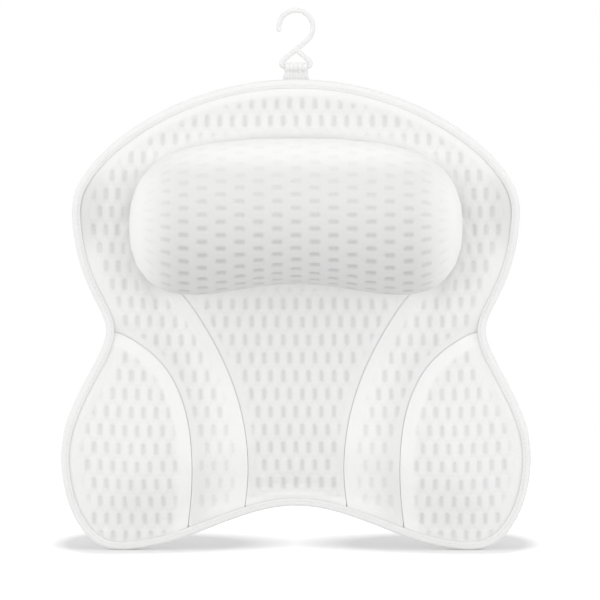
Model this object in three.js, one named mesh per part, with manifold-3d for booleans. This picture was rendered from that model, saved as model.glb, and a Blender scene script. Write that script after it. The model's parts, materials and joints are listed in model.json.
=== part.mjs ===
// Butterfly bath pillow: padded mesh panels sewn to a back panel and bound round the edge, a raised
// head cushion, suction cups in eyelets on the back and a hanging hook in a webbing loop.
// Lengths are in millimetres. The pillow is drawn lying on its back: x to the right, y up the pillow
// and z from the tub wall to the front. The last group stands it up, with its origin on the wall.
import * as THREE from "three";
import { mergeVertices } from "three/addons/utils/BufferGeometryUtils.js";
import Module from "manifold-3d";

const wasm = await Module();
wasm.setup();

// Outline of the pillow, from its lowest line up
const pillowHeight = 420;
const lobeWidth = 420;
const lobeHeight = 83;
const shoulderWidth = 398;
const shoulderHeight = 306;
const waistWidth = 338;
const waistHeight = 197;
const footSpacing = 314;
const archRise = 39.5;

// How far the outline's curves run on straight from those points
const topReach = 112;
const shoulderReachUp = 42;
const shoulderReachDown = 65;
const waistReachUp = 20;
const waistReachDown = 25;
const lobeReachUp = 47;
const lobeReachDown = 38;
const footReachOut = 36;
const footReachIn = 57;
const archReach = 52;

// Seams between the panels, placed along the lower edge as a share of its half
const wingSeamPlace = 0.37;
const wingFootLean = 10;
const wingFootReach = 66;
const wingWaistLean = 19;
const wingWaistReach = 83;
const wingTipLength = 8;
const stripSeamPlace = 0.7;
const stripFootLean = 12;
const stripFootReach = 63;
const stripNeckLean = 52;
const stripNeckReach = 70;
const seamGap = 0.6;

// Head cushion
const headWidth = 296;
const headTop = 370;
const headWaistHeight = 291;
const headCornerSpacing = 184;
const headCornerHeight = 230;
const headHollow = 10.5;
const headTopReach = 112;
const headSideReachUp = 62;
const headSideReachDown = 44;
const headCornerReachOut = 34;
const headCornerReachIn = 30;
const headHollowReach = 38;
const headSpineLength = 170;
const headSpineHeight = 300;
const headThickness = 58;
const headSideHeight = 20;
const headTuck = 8;
const headCrownAngle = 85;
const headCrownFullness = 0.85;

// Seat under the head cushion: its seam lies inside the cushion's outline
const seatRise = 0.85;
const seatInset = 12;
const seatNeckLean = 26;
const seatNeckReach = 23;
const seatSideDown = 22;
const seatSideUp = 46;
const seatTopHalf = 20;

// Padding
const meshThickness = 4;
const wingCrown = 34;
const archCrown = 22;
const centreCrown = 13;
const edgeSlope = 52;
const archEdgeSlope = 26;
const wingSeamRound = 18;
const stripOuterRound = 28;
const stripInnerRound = 14;
const centreSeamRound = 24;
const seamFlat = 1;
const leastPadding = 0.5;

// Binding tape
const bindingWidth = 8;
const bindingWall = 1.5;
const bindingPlay = 0.8;
const bindingRoundIn = 2.1;
const bindingRoundUp = 2.4;
const bindingMargin = 4.5;

// Suction cups, eyelets and washers
const cupDiameter = 55;
const cupHeight = 12;
const cupWall = 1.6;
const cupLip = 2;
const neckDiameter = 8;
const knobDiameter = 13;
const knobTipDiameter = 5.6;
const knobLength = 5;
const knobRimLength = 1.25;
const upperCupSpacing = 176;
const upperCupHeight = 318;
const eyeletWall = 1.2;
const eyeletFlange = 18;
const washerDiameter = 19;
const washerThickness = 1;

// Hanging hook and its webbing loop
const rodDiameter = 4.8;
const crookRadius = 15.2;
const crookTipAngle = 186;
const hookTipDiameter = 5.2;
const eyeHalfWidth = 13;
const eyeCornerRadius = 3;
const stemAngle = 40;
const barAboveEdge = 11;
const webbingWidth = 19.4;
const webbingThickness = 1.2;
const webbingTail = 20;

// Clearance between pieces that touch
const clearance = 0.3;

// Steps along curves, in rows over the panels and round the turned pieces
const curveSteps = 24;
const outlineSteps = 10;
const seamSteps = 14;
const edgeSteps = 14;
const acrossSteps = 8;
const headSteps = 20;
const headTuckSteps = 2;
const headCrownSteps = 6;
const cupSteps = 18;
const domeSteps = 4;
const eyeletSteps = 14;
const crookSteps = 26;
const eyeCornerSteps = 8;
const hookSteps = 54;
const eyeSteps = 18;
const rodHalfSteps = 4;
const hookTipSteps = 8;
const webbingHalfSteps = 9;

// Levels above the tub wall
const flangeRear = cupHeight + clearance;
const backRear = flangeRear + eyeletWall + clearance;
const backFront = backRear + meshThickness;
const washerFront = backFront + clearance + washerThickness;
const rollFront = washerFront + clearance;
const rimFront = backFront + clearance + meshThickness;
const headSeat = seatRise * archCrown;
const headBase = rimFront + headSeat + clearance;

// Plan values that follow from the sizes above
const lobeX = lobeWidth / 2;
const shoulderX = shoulderWidth / 2;
const waistX = waistWidth / 2;
const footX = footSpacing / 2;
const headX = headWidth / 2;
const headCornerX = headCornerSpacing / 2;
const edgeInset = bindingWall + bindingPlay;
const flatEdge = bindingWidth + bindingMargin;

const plan = (x, y) => new THREE.Vector2(x, y);
const mirrored = (points) => points.map((p) => plan(-p.x, p.y)).reverse();

function curve(start, startHandle, endHandle, end) {
  return new THREE.CubicBezierCurve(start, startHandle, endHandle, end);
}

function curvePoints(pieces, steps) {
  const points = pieces.flatMap((piece) => piece.getPoints(steps).slice(1));
  return [pieces[0].getPoint(0), ...points];
}

// Right half of the pillow's outline, from the top round to the middle of the lower edge
const topPoint = plan(0, pillowHeight);
const shoulderPoint = plan(shoulderX, shoulderHeight);
const waistPoint = plan(waistX, waistHeight);
const lobePoint = plan(lobeX, lobeHeight);
const footPoint = plan(footX, 0);
const archPoint = plan(0, archRise);
const shoulderCurve = curve(
  topPoint,
  plan(topReach, pillowHeight),
  plan(shoulderX, shoulderHeight + shoulderReachUp),
  shoulderPoint,
);
const flankCurve = curve(
  shoulderPoint,
  plan(shoulderX, shoulderHeight - shoulderReachDown),
  plan(waistX, waistHeight + waistReachUp),
  waistPoint,
);
const lobeCurve = curve(
  waistPoint,
  plan(waistX, waistHeight - waistReachDown),
  plan(lobeX, lobeHeight + lobeReachUp),
  lobePoint,
);
const heelCurve = curve(
  lobePoint,
  plan(lobeX, lobeHeight - lobeReachDown),
  plan(footX + footReachOut, 0),
  footPoint,
);
const lowerCurve = curve(
  footPoint,
  plan(footX - footReachIn, 0),
  plan(archReach, archRise),
  archPoint,
);
const outlineCurves = [shoulderCurve, flankCurve, lobeCurve, heelCurve, lowerCurve];
const outlineHalf = curvePoints(outlineCurves, curveSteps);

// Points of a curve moved square to it, to its right when walking along it
function offsetPoint(piece, t, distance) {
  const tangent = piece.getTangent(t);
  return piece.getPoint(t).add(plan(tangent.y, -tangent.x).multiplyScalar(distance));
}

function offsetPoints(piece, distance, from, to, steps) {
  const points = [];
  for (let i = 0; i <= steps; i += 1) {
    points.push(offsetPoint(piece, THREE.MathUtils.lerp(from, to, i / steps), distance));
  }
  return points;
}

// Panel edges lie inside the binding, to the right of an outline that runs clockwise
const panelEdge = (piece, from, to, steps) => offsetPoints(piece, edgeInset, from, to, steps);
const panelHalf = outlineCurves.flatMap((piece, i) => {
  const points = panelEdge(piece, 0, 1, outlineSteps);
  return i === 0 ? points : points.slice(1);
});

// Right-hand seams: between wing and strip, and between strip and centre, up to the cushion's neck
const wingFoot = offsetPoint(lowerCurve, wingSeamPlace, edgeInset);
const wingTop = offsetPoint(flankCurve, 1, edgeInset);
const wingSeamCurve = curve(
  wingFoot,
  plan(wingFoot.x - wingFootLean, wingFoot.y + wingFootReach),
  plan(wingTop.x - wingWaistReach, wingTop.y - wingWaistLean),
  wingTop,
);
const stripFoot = offsetPoint(lowerCurve, stripSeamPlace, edgeInset);
const neckPoint = plan(headCornerX + headTuck, headCornerHeight);
const stripSeamCurve = curve(
  stripFoot,
  plan(stripFoot.x - stripFootLean, stripFoot.y + stripFootReach),
  plan(neckPoint.x - stripNeckLean, neckPoint.y - stripNeckReach),
  neckPoint,
);
const seatX = headX - seatInset;
const seatTop = headTop - seatInset;
const seatSide = plan(seatX, headWaistHeight);
const seatSideCurve = curve(
  neckPoint,
  plan(neckPoint.x + seatNeckLean, neckPoint.y + seatNeckReach),
  plan(seatX, headWaistHeight - seatSideDown),
  seatSide,
);
const seatTopCurve = curve(
  seatSide,
  plan(seatX, headWaistHeight + seatSideUp),
  plan(headTopReach, seatTop),
  plan(0, seatTop),
);
const stripSeamPieces = [stripSeamCurve, seatSideCurve, seatTopCurve];
const wingSeamPoints = wingSeamCurve.getPoints(curveSteps);
const stripSeamPoints = curvePoints(stripSeamPieces, curveSteps);

// One side of a seam, half its gap away: 1 is the right-hand side going up it
function seamSide(pieces, side) {
  return pieces.flatMap((piece, i) => {
    const points = offsetPoints(piece, (side * seamGap) / 2, 0, 1, curveSteps);
    return i === 0 ? points : points.slice(1);
  });
}

// A line of points as a function of the share of its length
function chain(points) {
  const lengths = [0];
  for (let i = 1; i < points.length; i += 1) {
    lengths.push(lengths[i - 1] + points[i].distanceTo(points[i - 1]));
  }
  const total = lengths[lengths.length - 1];
  const at = (share) => {
    const target = THREE.MathUtils.clamp(share, 0, 1) * total;
    let i = 1;
    while (i < points.length - 1 && lengths[i] < target) {
      i += 1;
    }
    const part = (target - lengths[i - 1]) / (lengths[i] - lengths[i - 1]);
    return points[i - 1].clone().lerp(points[i], part);
  };
  return { at, total };
}

function stretch(line, from, to, steps) {
  const points = [];
  for (let i = 0; i <= steps; i += 1) {
    points.push(line.at(THREE.MathUtils.lerp(from, to, i / steps)));
  }
  return points;
}

function distanceToLine(points, place) {
  let nearest = Infinity;
  for (let i = 1; i < points.length; i += 1) {
    const side = points[i].clone().sub(points[i - 1]);
    const along = place.clone().sub(points[i - 1]).dot(side) / side.lengthSq();
    const foot = points[i - 1].clone().addScaledVector(side, THREE.MathUtils.clamp(along, 0, 1));
    nearest = Math.min(nearest, foot.distanceTo(place));
  }
  return nearest;
}

// Padding rises round from a seam, and in a gentle slope from the bound edge
function roundRise(distance, reach) {
  const share = THREE.MathUtils.clamp((distance - seamFlat) / reach, 0, 1);
  return Math.sqrt(1 - (1 - share) ** 2);
}

function edgeRise(place, reach) {
  const distance = distanceToLine(outlineHalf, plan(Math.abs(place.x), place.y));
  return THREE.MathUtils.smoothstep(distance, flatEdge, flatEdge + reach);
}

function seamRise(points, place, reach) {
  return roundRise(distanceToLine(points, plan(Math.abs(place.x), place.y)), reach);
}

function wingHeight(place) {
  return wingCrown * edgeRise(place, edgeSlope) * seamRise(wingSeamPoints, place, wingSeamRound);
}

function archHeight(place) {
  const outer = edgeRise(place, archEdgeSlope) * seamRise(wingSeamPoints, place, stripOuterRound);
  return archCrown * outer * seamRise(stripSeamPoints, place, stripInnerRound);
}

function centreHeight(place) {
  const rise = THREE.MathUtils.smoothstep(place.y, stripFoot.y, headCornerHeight + headHollow);
  const crown = THREE.MathUtils.lerp(centreCrown, headSeat, rise);
  const sides = seamRise(stripSeamPoints, place, centreSeamRound);
  return crown * edgeRise(place, archEdgeSlope) * sides;
}

// A panel's plan, filled in between two sides and two ends
function panelPlan(sideA, sideB, endA, endB) {
  const [a, b, start, end] = [chain(sideA), chain(sideB), chain(endA), chain(endB)];
  return (u, v) => {
    const across = a.at(u).lerp(b.at(u), v);
    const along = start.at(v).lerp(end.at(v), u);
    const low = a.at(0).lerp(b.at(0), v);
    const high = a.at(1).lerp(b.at(1), v);
    return across.add(along).sub(low.lerp(high, u));
  };
}

// Shares that crowd towards both ends, where the padding turns down
function crowded(count) {
  return Array.from({ length: count + 1 }, (_, i) => (1 - Math.cos((Math.PI * i) / count)) / 2);
}

function crowdedAtStart(count) {
  return Array.from({ length: count + 1 }, (_, i) => 1 - Math.cos((Math.PI * i) / count / 2));
}

function even(count) {
  return Array.from({ length: count + 1 }, (_, i) => i / count);
}

// Rows of plan points over a panel, at the given shares along it
function planRows(panel, along) {
  return along.map((u) => crowded(acrossSteps).map((v) => panel(u, v)));
}

// A closed body between two heights over rows of plan points
function bodyBetween(rows, bottom, top) {
  const across = rows[0].length;
  const total = rows.length * across;
  const positions = [];
  for (const level of [top, bottom]) {
    rows.flat().forEach((p) => positions.push(p.x, p.y, level(p)));
  }
  const index = [];
  const quad = (a, b, c, d) => index.push(a, b, c, a, c, d);
  for (let i = 0; i < rows.length - 1; i += 1) {
    for (let j = 0; j < across - 1; j += 1) {
      const corner = i * across + j;
      const next = corner + across;
      quad(corner, next, next + 1, corner + 1);
      quad(total + corner, total + corner + 1, total + next + 1, total + next);
    }
  }
  const last = (rows.length - 1) * across;
  for (let j = 0; j < across - 1; j += 1) {
    quad(j, j + 1, total + j + 1, total + j);
    quad(last + j + 1, last + j, total + last + j, total + last + j + 1);
  }
  for (let i = 0; i < rows.length - 1; i += 1) {
    const left = i * across;
    const right = left + across - 1;
    quad(left + across, left, total + left, total + left + across);
    quad(right, right + across, total + right + across, total + right);
  }
  return solidGeometry(positions, index);
}

function solidGeometry(positions, index) {
  const geometry = new THREE.BufferGeometry();
  geometry.setAttribute("position", new THREE.Float32BufferAttribute(positions, 3));
  geometry.setIndex(index);
  return facingOut(geometry);
}

// Shared corners merged, flat triangles dropped and faces turned outwards
function facingOut(source) {
  const bare = new THREE.BufferGeometry();
  bare.setAttribute("position", source.getAttribute("position").clone());
  if (source.index) {
    bare.setIndex(source.index.clone());
  }
  const merged = mergeVertices(bare, 1e-3);
  const place = merged.getAttribute("position");
  const corner = (i) => new THREE.Vector3().fromBufferAttribute(place, i);
  const triangles = [];
  let volume = 0;
  for (let i = 0; i < merged.index.count; i += 3) {
    const [a, b, c] = [0, 1, 2].map((k) => merged.index.getX(i + k));
    if (a !== b && b !== c && c !== a) {
      triangles.push([a, b, c]);
      volume += corner(a).dot(corner(b).cross(corner(c)));
    }
  }
  merged.setIndex(triangles.flatMap(([a, b, c]) => (volume < 0 ? [a, c, b] : [a, b, c])));
  return merged;
}

function toManifold(source) {
  const geometry = facingOut(source);
  const vertProperties = new Float32Array(geometry.getAttribute("position").array);
  const triVerts = new Uint32Array(geometry.index.array);
  return new wasm.Manifold(new wasm.Mesh({ numProp: 3, vertProperties, triVerts }));
}

function fromManifold(solid) {
  const mesh = solid.getMesh();
  return solidGeometry(Array.from(mesh.vertProperties), Array.from(mesh.triVerts));
}

// Cover of a padded panel: a mesh skin, open at the back
function coverGeometry(rows, height) {
  const front = (p) => rimFront + height(p);
  return bodyBetween(rows, (p) => front(p) - meshThickness, front);
}

function planArea(rows) {
  const right = rows.map((row) => row.at(-1));
  const left = rows.map((row) => row[0]).reverse();
  return Math.abs(THREE.ShapeUtils.area([...rows[0], ...right, ...rows.at(-1).toReversed(), ...left]));
}

// The widest block of a panel's rows with room for padding under the cover everywhere
function paddedRows(rows, room) {
  const marked = rows.map((row) => row.map((p) => ({ p, roomy: room(p) >= leastPadding })));
  const columns = rows[0].length;
  let widest = { area: 0 };
  for (let first = 0; first < columns - 1; first += 1) {
    for (let last = first + 1; last < columns; last += 1) {
      let block = [];
      for (const row of marked) {
        const part = row.slice(first, last + 1);
        block = part.every(({ roomy }) => roomy) ? [...block, part.map(({ p }) => p)] : [];
        const area = block.length > 1 ? planArea(block) : 0;
        widest = area > widest.area ? { area, block } : widest;
      }
    }
  }
  return widest.block;
}

// Padding under a cover, with a pocket round each suction cup's knob
function fillingGeometry(rows, height, cups) {
  const bottom = backFront + clearance;
  const top = (p) => rimFront + height(p) - meshThickness - clearance;
  const kept = paddedRows(rows, (p) => top(p) - bottom);
  const filling = bodyBetween(kept, () => bottom, top);
  const pocketDepth = rollFront + clearance + knobLength + clearance - backFront;
  const pocketRadius = washerDiameter / 2 + clearance;
  const pocket = new THREE.CylinderGeometry(pocketRadius, pocketRadius, 2 * pocketDepth, eyeletSteps);
  pocket.rotateX(Math.PI / 2);
  let solid = toManifold(filling);
  for (const cup of cups) {
    solid = solid.subtract(toManifold(pocket.clone().translate(cup.x, cup.y, backFront)));
  }
  return fromManifold(solid);
}

// Plan of each panel
const lobeEdge = [
  ...panelEdge(lobeCurve, 0, 1, curveSteps),
  ...panelEdge(heelCurve, 0, 1, curveSteps).slice(1),
  ...panelEdge(lowerCurve, 0, wingSeamPlace, curveSteps).slice(1),
];
const lobeChain = chain(lobeEdge);
const tipShare = wingTipLength / lobeChain.total;
const wingSeamWingSide = seamSide([wingSeamCurve], 1).reverse();
const wingTopEnd = wingSeamWingSide[0];
const wingFootEnd = wingSeamWingSide[wingSeamWingSide.length - 1];
const wingPlan = panelPlan(
  stretch(lobeChain, tipShare, 1 - tipShare, 2 * curveSteps),
  wingSeamWingSide,
  [lobeChain.at(tipShare), lobeChain.at(tipShare / 2), wingTopEnd],
  [lobeChain.at(1 - tipShare), lobeChain.at(1 - tipShare / 2), wingFootEnd],
);

const topEdge = panelEdge(shoulderCurve, 0, 1, curveSteps).reverse();
const flankEdge = panelEdge(flankCurve, 0, 1, curveSteps).reverse();
const wingSeamArchSide = seamSide([wingSeamCurve], -1);
const archOuterHalf = [...wingSeamArchSide, ...flankEdge.slice(1), ...topEdge.slice(1)];
const stripSeamArchSide = seamSide(stripSeamPieces, 1);
const stripEndEdge = panelEdge(lowerCurve, wingSeamPlace, stripSeamPlace, curveSteps);
stripEndEdge[0] = wingSeamArchSide[0];
stripEndEdge[curveSteps] = stripSeamArchSide[0];
const bothHalves = (half) => [...half, ...mirrored(half).slice(1)];
const archPlan = panelPlan(
  bothHalves(archOuterHalf),
  bothHalves(stripSeamArchSide),
  stripEndEdge,
  stripEndEdge.map((p) => plan(-p.x, p.y)),
);

const stripSeamCentreSide = seamSide(stripSeamPieces, -1);
const seatCorner = stripSeamCentreSide.findLastIndex((p) => p.x > seatTopHalf);
const seatRight = stripSeamCentreSide.slice(0, seatCorner + 1);
const seatLeft = seatRight.map((p) => plan(-p.x, p.y));
const lowerEdgeHalf = panelEdge(lowerCurve, stripSeamPlace, 1, curveSteps);
lowerEdgeHalf[0] = seatRight[0];
const seatTopEdge = stripSeamCentreSide.slice(seatCorner);
const centrePlan = panelPlan(
  seatLeft,
  seatRight,
  bothHalves(lowerEdgeHalf).reverse(),
  bothHalves(seatTopEdge).reverse(),
);

// Suction cups: under the head cushion, at the waist and in the lobes
const stripAtWaist = stripSeamPoints.reduce((best, p) =>
  Math.abs(p.y - waistHeight) < Math.abs(best.y - waistHeight) ? p : best,
);
const cupRows = [
  { row: "upper", x: upperCupSpacing / 2, y: upperCupHeight },
  { row: "middle", x: (waistX + stripAtWaist.x) / 2, y: waistHeight },
  { row: "lower", x: (lobeX + wingFoot.x) / 2, y: lobeHeight },
];
const cups = cupRows.flatMap(({ row, x, y }) => [
  { row, name: `${row}_left`, x: -x, y },
  { row, name: `${row}_right`, x, y },
]);
const cupsInRow = (row) => cups.filter((cup) => cup.row === row);

// Head cushion: rings of its outline drawn in towards a spine as they rise
const headHalfPieces = [
  curve(
    plan(0, headTop),
    plan(headTopReach, headTop),
    plan(headX, headWaistHeight + headSideReachUp),
    plan(headX, headWaistHeight),
  ),
  curve(
    plan(headX, headWaistHeight),
    plan(headX, headWaistHeight - headSideReachDown),
    plan(headCornerX + headCornerReachOut, headCornerHeight),
    plan(headCornerX, headCornerHeight),
  ),
  curve(
    plan(headCornerX, headCornerHeight),
    plan(headCornerX - headCornerReachIn, headCornerHeight),
    plan(headHollowReach, headCornerHeight + headHollow),
    plan(0, headCornerHeight + headHollow),
  ),
];

function headRing(inset) {
  const half = stretch(chain(curvePoints(headHalfPieces, curveSteps)), 0, 1, headSteps);
  const loop = [...half, ...mirrored(half).slice(1, -1)];
  return loop.map((p, i) => {
    const before = loop[(i + loop.length - 1) % loop.length];
    const after = loop[(i + 1) % loop.length];
    const tangent = after.clone().sub(before).normalize();
    return p.clone().add(plan(tangent.y, -tangent.x).multiplyScalar(inset));
  });
}

// Share of the outline and height of the rings, from the sewn base up to the crown
function headProfile(base, thickness) {
  const rings = [];
  for (let i = 0; i < headTuckSteps; i += 1) {
    const angle = (Math.PI / 2) * (1 - i / headTuckSteps);
    const z = base + headSideHeight * (1 - Math.sin(angle));
    rings.push({ tuck: headTuck * (1 - Math.cos(angle)), share: 1, z });
  }
  const crown = thickness - headSideHeight;
  const lastAngle = THREE.MathUtils.degToRad(headCrownAngle);
  for (let i = 0; i <= headCrownSteps; i += 1) {
    const angle = (lastAngle * i) / headCrownSteps;
    const z = base + headSideHeight + (crown * Math.sin(angle)) / Math.sin(lastAngle);
    rings.push({ tuck: 0, share: Math.cos(angle) ** headCrownFullness, z });
  }
  return rings;
}

function headSurface(inset, base, thickness) {
  return headProfile(base, thickness).map(({ tuck, share, z }) =>
    headRing(inset + tuck).map((p) => {
      const spineX = THREE.MathUtils.clamp(p.x, -headSpineLength / 2, headSpineLength / 2);
      const onPlan = plan(spineX, headSpineHeight).lerp(p, share);
      return new THREE.Vector3(onPlan.x, onPlan.y, z);
    }),
  );
}

function loftIndex(index, ringCount, ringSize, first) {
  for (let i = 0; i < ringCount - 1; i += 1) {
    for (let j = 0; j < ringSize; j += 1) {
      const a = first + i * ringSize + j;
      const b = first + i * ringSize + ((j + 1) % ringSize);
      index.push(a, b, b + ringSize, a, b + ringSize, a + ringSize);
    }
  }
}

function capIndex(index, ring, first, turned) {
  const flat = ring.map((p) => plan(p.x, p.y));
  for (const [a, b, c] of THREE.ShapeUtils.triangulateShape(flat, [])) {
    index.push(...(turned ? [first + a, first + c, first + b] : [first + a, first + b, first + c]));
  }
}

// Rings joined into one closed body, capped at its first and last ring
function cappedLoft(rings) {
  const size = rings[0].length;
  const index = [];
  loftIndex(index, rings.length, size, 0);
  const clockwise = THREE.ShapeUtils.isClockWise(rings[0].map((p) => plan(p.x, p.y)));
  capIndex(index, rings[0], 0, !clockwise);
  capIndex(index, rings[rings.length - 1], (rings.length - 1) * size, clockwise);
  return solidGeometry(rings.flat().flatMap((p) => p.toArray()), index);
}

function headCoverGeometry() {
  const outer = headSurface(0, headBase, headThickness);
  const inner = headSurface(meshThickness, headBase, headThickness - meshThickness);
  return cappedLoft([...inner.reverse(), ...outer]);
}

function headFillingGeometry() {
  const inset = meshThickness + clearance;
  const thickness = headThickness - inset - clearance;
  return cappedLoft(headSurface(inset, headBase + clearance, thickness));
}

// Binding: a folded tape carried round the outline
function bindingGeometry() {
  const half = curvePoints(outlineCurves, outlineSteps);
  const loop = [...half, ...mirrored(half).slice(1, -1)];
  const slotRear = backRear - clearance;
  const slotFront = rimFront + clearance;
  const rear = slotRear - bindingWall;
  const front = slotFront + bindingWall;
  const fold = [
    [bindingWidth, rear],
    [bindingRoundIn, rear],
    [0, rear + bindingRoundUp],
    [0, front - bindingRoundUp],
    [bindingRoundIn, front],
    [bindingWidth, front],
    [bindingWidth, slotFront],
    [bindingWall, slotFront],
    [bindingWall, slotRear],
    [bindingWidth, slotRear],
  ];
  const rings = loop.map((p, i) => {
    const before = loop[(i + loop.length - 1) % loop.length];
    const after = loop[(i + 1) % loop.length];
    const tangent = after.clone().sub(before).normalize();
    const inside = plan(tangent.y, -tangent.x);
    return fold.map(([inward, z]) => {
      const place = p.clone().addScaledVector(inside, inward);
      return new THREE.Vector3(place.x, place.y, z);
    });
  });
  const index = [];
  loftIndex(index, rings.length + 1, fold.length, 0);
  return solidGeometry([...rings, rings[0]].flat().flatMap((p) => p.toArray()), index);
}

// Back panel: flat mesh with a hole for each eyelet's barrel
const barrelRadius = neckDiameter / 2 + clearance + eyeletWall;

function backPanelGeometry() {
  const loop = [...panelHalf, ...mirrored(panelHalf).slice(1, -1)];
  const shape = new THREE.Shape(loop.reverse());
  for (const cup of cups) {
    const hole = new THREE.Path();
    hole.absarc(cup.x, cup.y, barrelRadius + clearance, 0, 2 * Math.PI, true);
    shape.holes.push(hole);
  }
  const sheet = { depth: backFront - backRear, bevelEnabled: false, curveSegments: eyeletSteps / 2 };
  return new THREE.ExtrudeGeometry(shape, sheet).translate(0, 0, backRear);
}

// A profile of radius and height turned about the cup's axis
function turned(profile, segments) {
  const points = profile.map(([radius, z]) => plan(radius, z));
  return new THREE.LatheGeometry(points, segments).rotateX(Math.PI / 2);
}

// Arc of a dome that falls from its crown to its rim
function domeArc(rimRadius, rimZ, crownZ, fromRadius) {
  const height = crownZ - rimZ;
  const radius = (rimRadius ** 2 + height ** 2) / (2 * height);
  return even(domeSteps).map((share) => {
    const r = THREE.MathUtils.lerp(fromRadius, rimRadius, share);
    return [r, crownZ - radius + Math.sqrt(radius ** 2 - r ** 2)];
  });
}

function suctionCupGeometry() {
  const rim = cupDiameter / 2;
  const neck = neckDiameter / 2;
  const knobUnder = rollFront + clearance;
  const knobTip = knobUnder + knobLength;
  const profile = [
    [0, knobTip],
    [knobTipDiameter / 2, knobTip],
    [knobDiameter / 2, knobUnder + knobRimLength],
    [knobDiameter / 2, knobUnder],
    [neck, knobUnder],
    ...domeArc(rim, cupWall / 2, cupHeight, neck),
    [rim, 0],
    ...domeArc(rim - cupLip, 0, cupHeight - cupWall, 0).reverse(),
  ];
  return turned(profile, cupSteps);
}

function eyeletGeometry() {
  const bore = neckDiameter / 2 + clearance;
  const flange = eyeletFlange / 2;
  const profile = [
    [bore, flangeRear],
    [flange - eyeletWall / 2, flangeRear],
    [flange, flangeRear + eyeletWall],
    [barrelRadius, flangeRear + eyeletWall],
    [barrelRadius, rollFront],
    [bore, rollFront],
    [bore, flangeRear],
  ];
  return turned(profile, eyeletSteps);
}

function washerGeometry() {
  const bore = barrelRadius + clearance;
  const rear = backFront + clearance;
  const profile = [
    [bore, rear],
    [washerDiameter / 2, rear],
    [washerDiameter / 2, washerFront],
    [bore, washerFront],
    [bore, rear],
  ];
  return turned(profile, eyeletSteps);
}

// Hook: a crook that leans down to a closed eye round the webbing
const webbingFront = backRear - clearance - bindingWall - clearance;
const barZ = webbingFront - webbingThickness;
const barY = pillowHeight + barAboveEdge;

function onCircle(centre, radius, degrees) {
  const angle = THREE.MathUtils.degToRad(degrees);
  const place = centre.clone().add(plan(Math.cos(angle), Math.sin(angle)).multiplyScalar(radius));
  return new THREE.Vector3(place.x, place.y, barZ);
}

function arcPoints(centre, radius, fromDegrees, toDegrees, steps) {
  const degrees = even(steps).map((share) => THREE.MathUtils.lerp(fromDegrees, toDegrees, share));
  return degrees.map((angle) => onCircle(centre, radius, angle));
}

function rodAlong(points, steps) {
  const path = new THREE.CurvePath();
  for (let i = 1; i < points.length; i += 1) {
    path.add(new THREE.LineCurve3(points[i - 1], points[i]));
  }
  const section = new THREE.Shape();
  section.absarc(0, 0, rodDiameter / 2, 0, 2 * Math.PI, false);
  const sweep = { steps, extrudePath: path, curveSegments: rodHalfSteps };
  return new THREE.ExtrudeGeometry(section, sweep);
}

function hookGeometry() {
  const cornerX = eyeHalfWidth - eyeCornerRadius;
  const leftCorner = plan(-cornerX, barY + eyeCornerRadius);
  const rightCorner = plan(cornerX, barY + eyeCornerRadius);
  const stem = THREE.MathUtils.degToRad(stemAngle);
  const stemStart = onCircle(leftCorner, eyeCornerRadius, 90 + stemAngle);
  const crookEnd = plan(crookRadius * Math.sin(stem), -crookRadius * Math.cos(stem));
  const crookCentre = plan(0, stemStart.y + (crookEnd.x - stemStart.x) * Math.tan(stem) - crookEnd.y);
  const main = [
    ...arcPoints(crookCentre, crookRadius, crookTipAngle, stemAngle - 90, crookSteps),
    ...arcPoints(leftCorner, eyeCornerRadius, 90 + stemAngle, 270, eyeCornerSteps),
    new THREE.Vector3(0, barY, barZ),
  ];
  const apex = new THREE.Vector3(0, stemStart.y - stemStart.x * Math.tan(stem), barZ);
  const leg = [
    new THREE.Vector3(0, barY, barZ),
    ...arcPoints(rightCorner, eyeCornerRadius, -90, 90 - stemAngle, eyeCornerSteps),
    apex,
  ];
  const tip = new THREE.SphereGeometry(hookTipDiameter / 2, hookTipSteps, hookTipSteps);
  tip.translate(main[0].x, main[0].y, barZ);
  const rods = toManifold(rodAlong(main, hookSteps)).add(toManifold(rodAlong(leg, eyeSteps)));
  return fromManifold(rods.add(toManifold(tip)));
}

// Webbing folded round the hook's bar, with its tail sewn down behind the binding
function hookLoopGeometry() {
  const eye = rodDiameter / 2 + clearance;
  const outer = eye + webbingThickness;
  const half = webbingThickness;
  const meet = Math.asin(half / outer);
  const tailEnd = pillowHeight - webbingTail - barY;
  const shape = new THREE.Shape();
  shape.moveTo(-half, tailEnd);
  shape.lineTo(half, tailEnd);
  shape.absarc(0, 0, outer, meet - Math.PI / 2, 1.5 * Math.PI - meet, false);
  const hole = new THREE.Path();
  hole.absarc(0, 0, eye, 0, 2 * Math.PI, true);
  shape.holes.push(hole);
  const ribbon = { depth: webbingWidth, bevelEnabled: false, curveSegments: webbingHalfSteps };
  const geometry = new THREE.ExtrudeGeometry(shape, ribbon);
  geometry.translate(0, 0, -webbingWidth / 2);
  geometry.rotateY(-Math.PI / 2);
  return geometry.translate(0, barY, barZ);
}

// Materials
const matter = (color, roughness) => new THREE.MeshStandardMaterial({ color, roughness, metalness: 0 });
const meshCloth = () => matter(0xf1f1ef, 0.9);
const stuffing = () => matter(0xf7f7f5, 1);
const tape = () => matter(0xeeeeec, 0.85);
const hardPlastic = () => matter(0xf4f4f2, 0.35);
const clearVinyl = () => matter(0xe4eaec, 0.2);

const pillow = new THREE.Group();

function addPiece(name, geometry, material) {
  const piece = new THREE.Mesh(facingOut(geometry), material);
  piece.name = name;
  pillow.add(piece);
  return piece;
}

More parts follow.
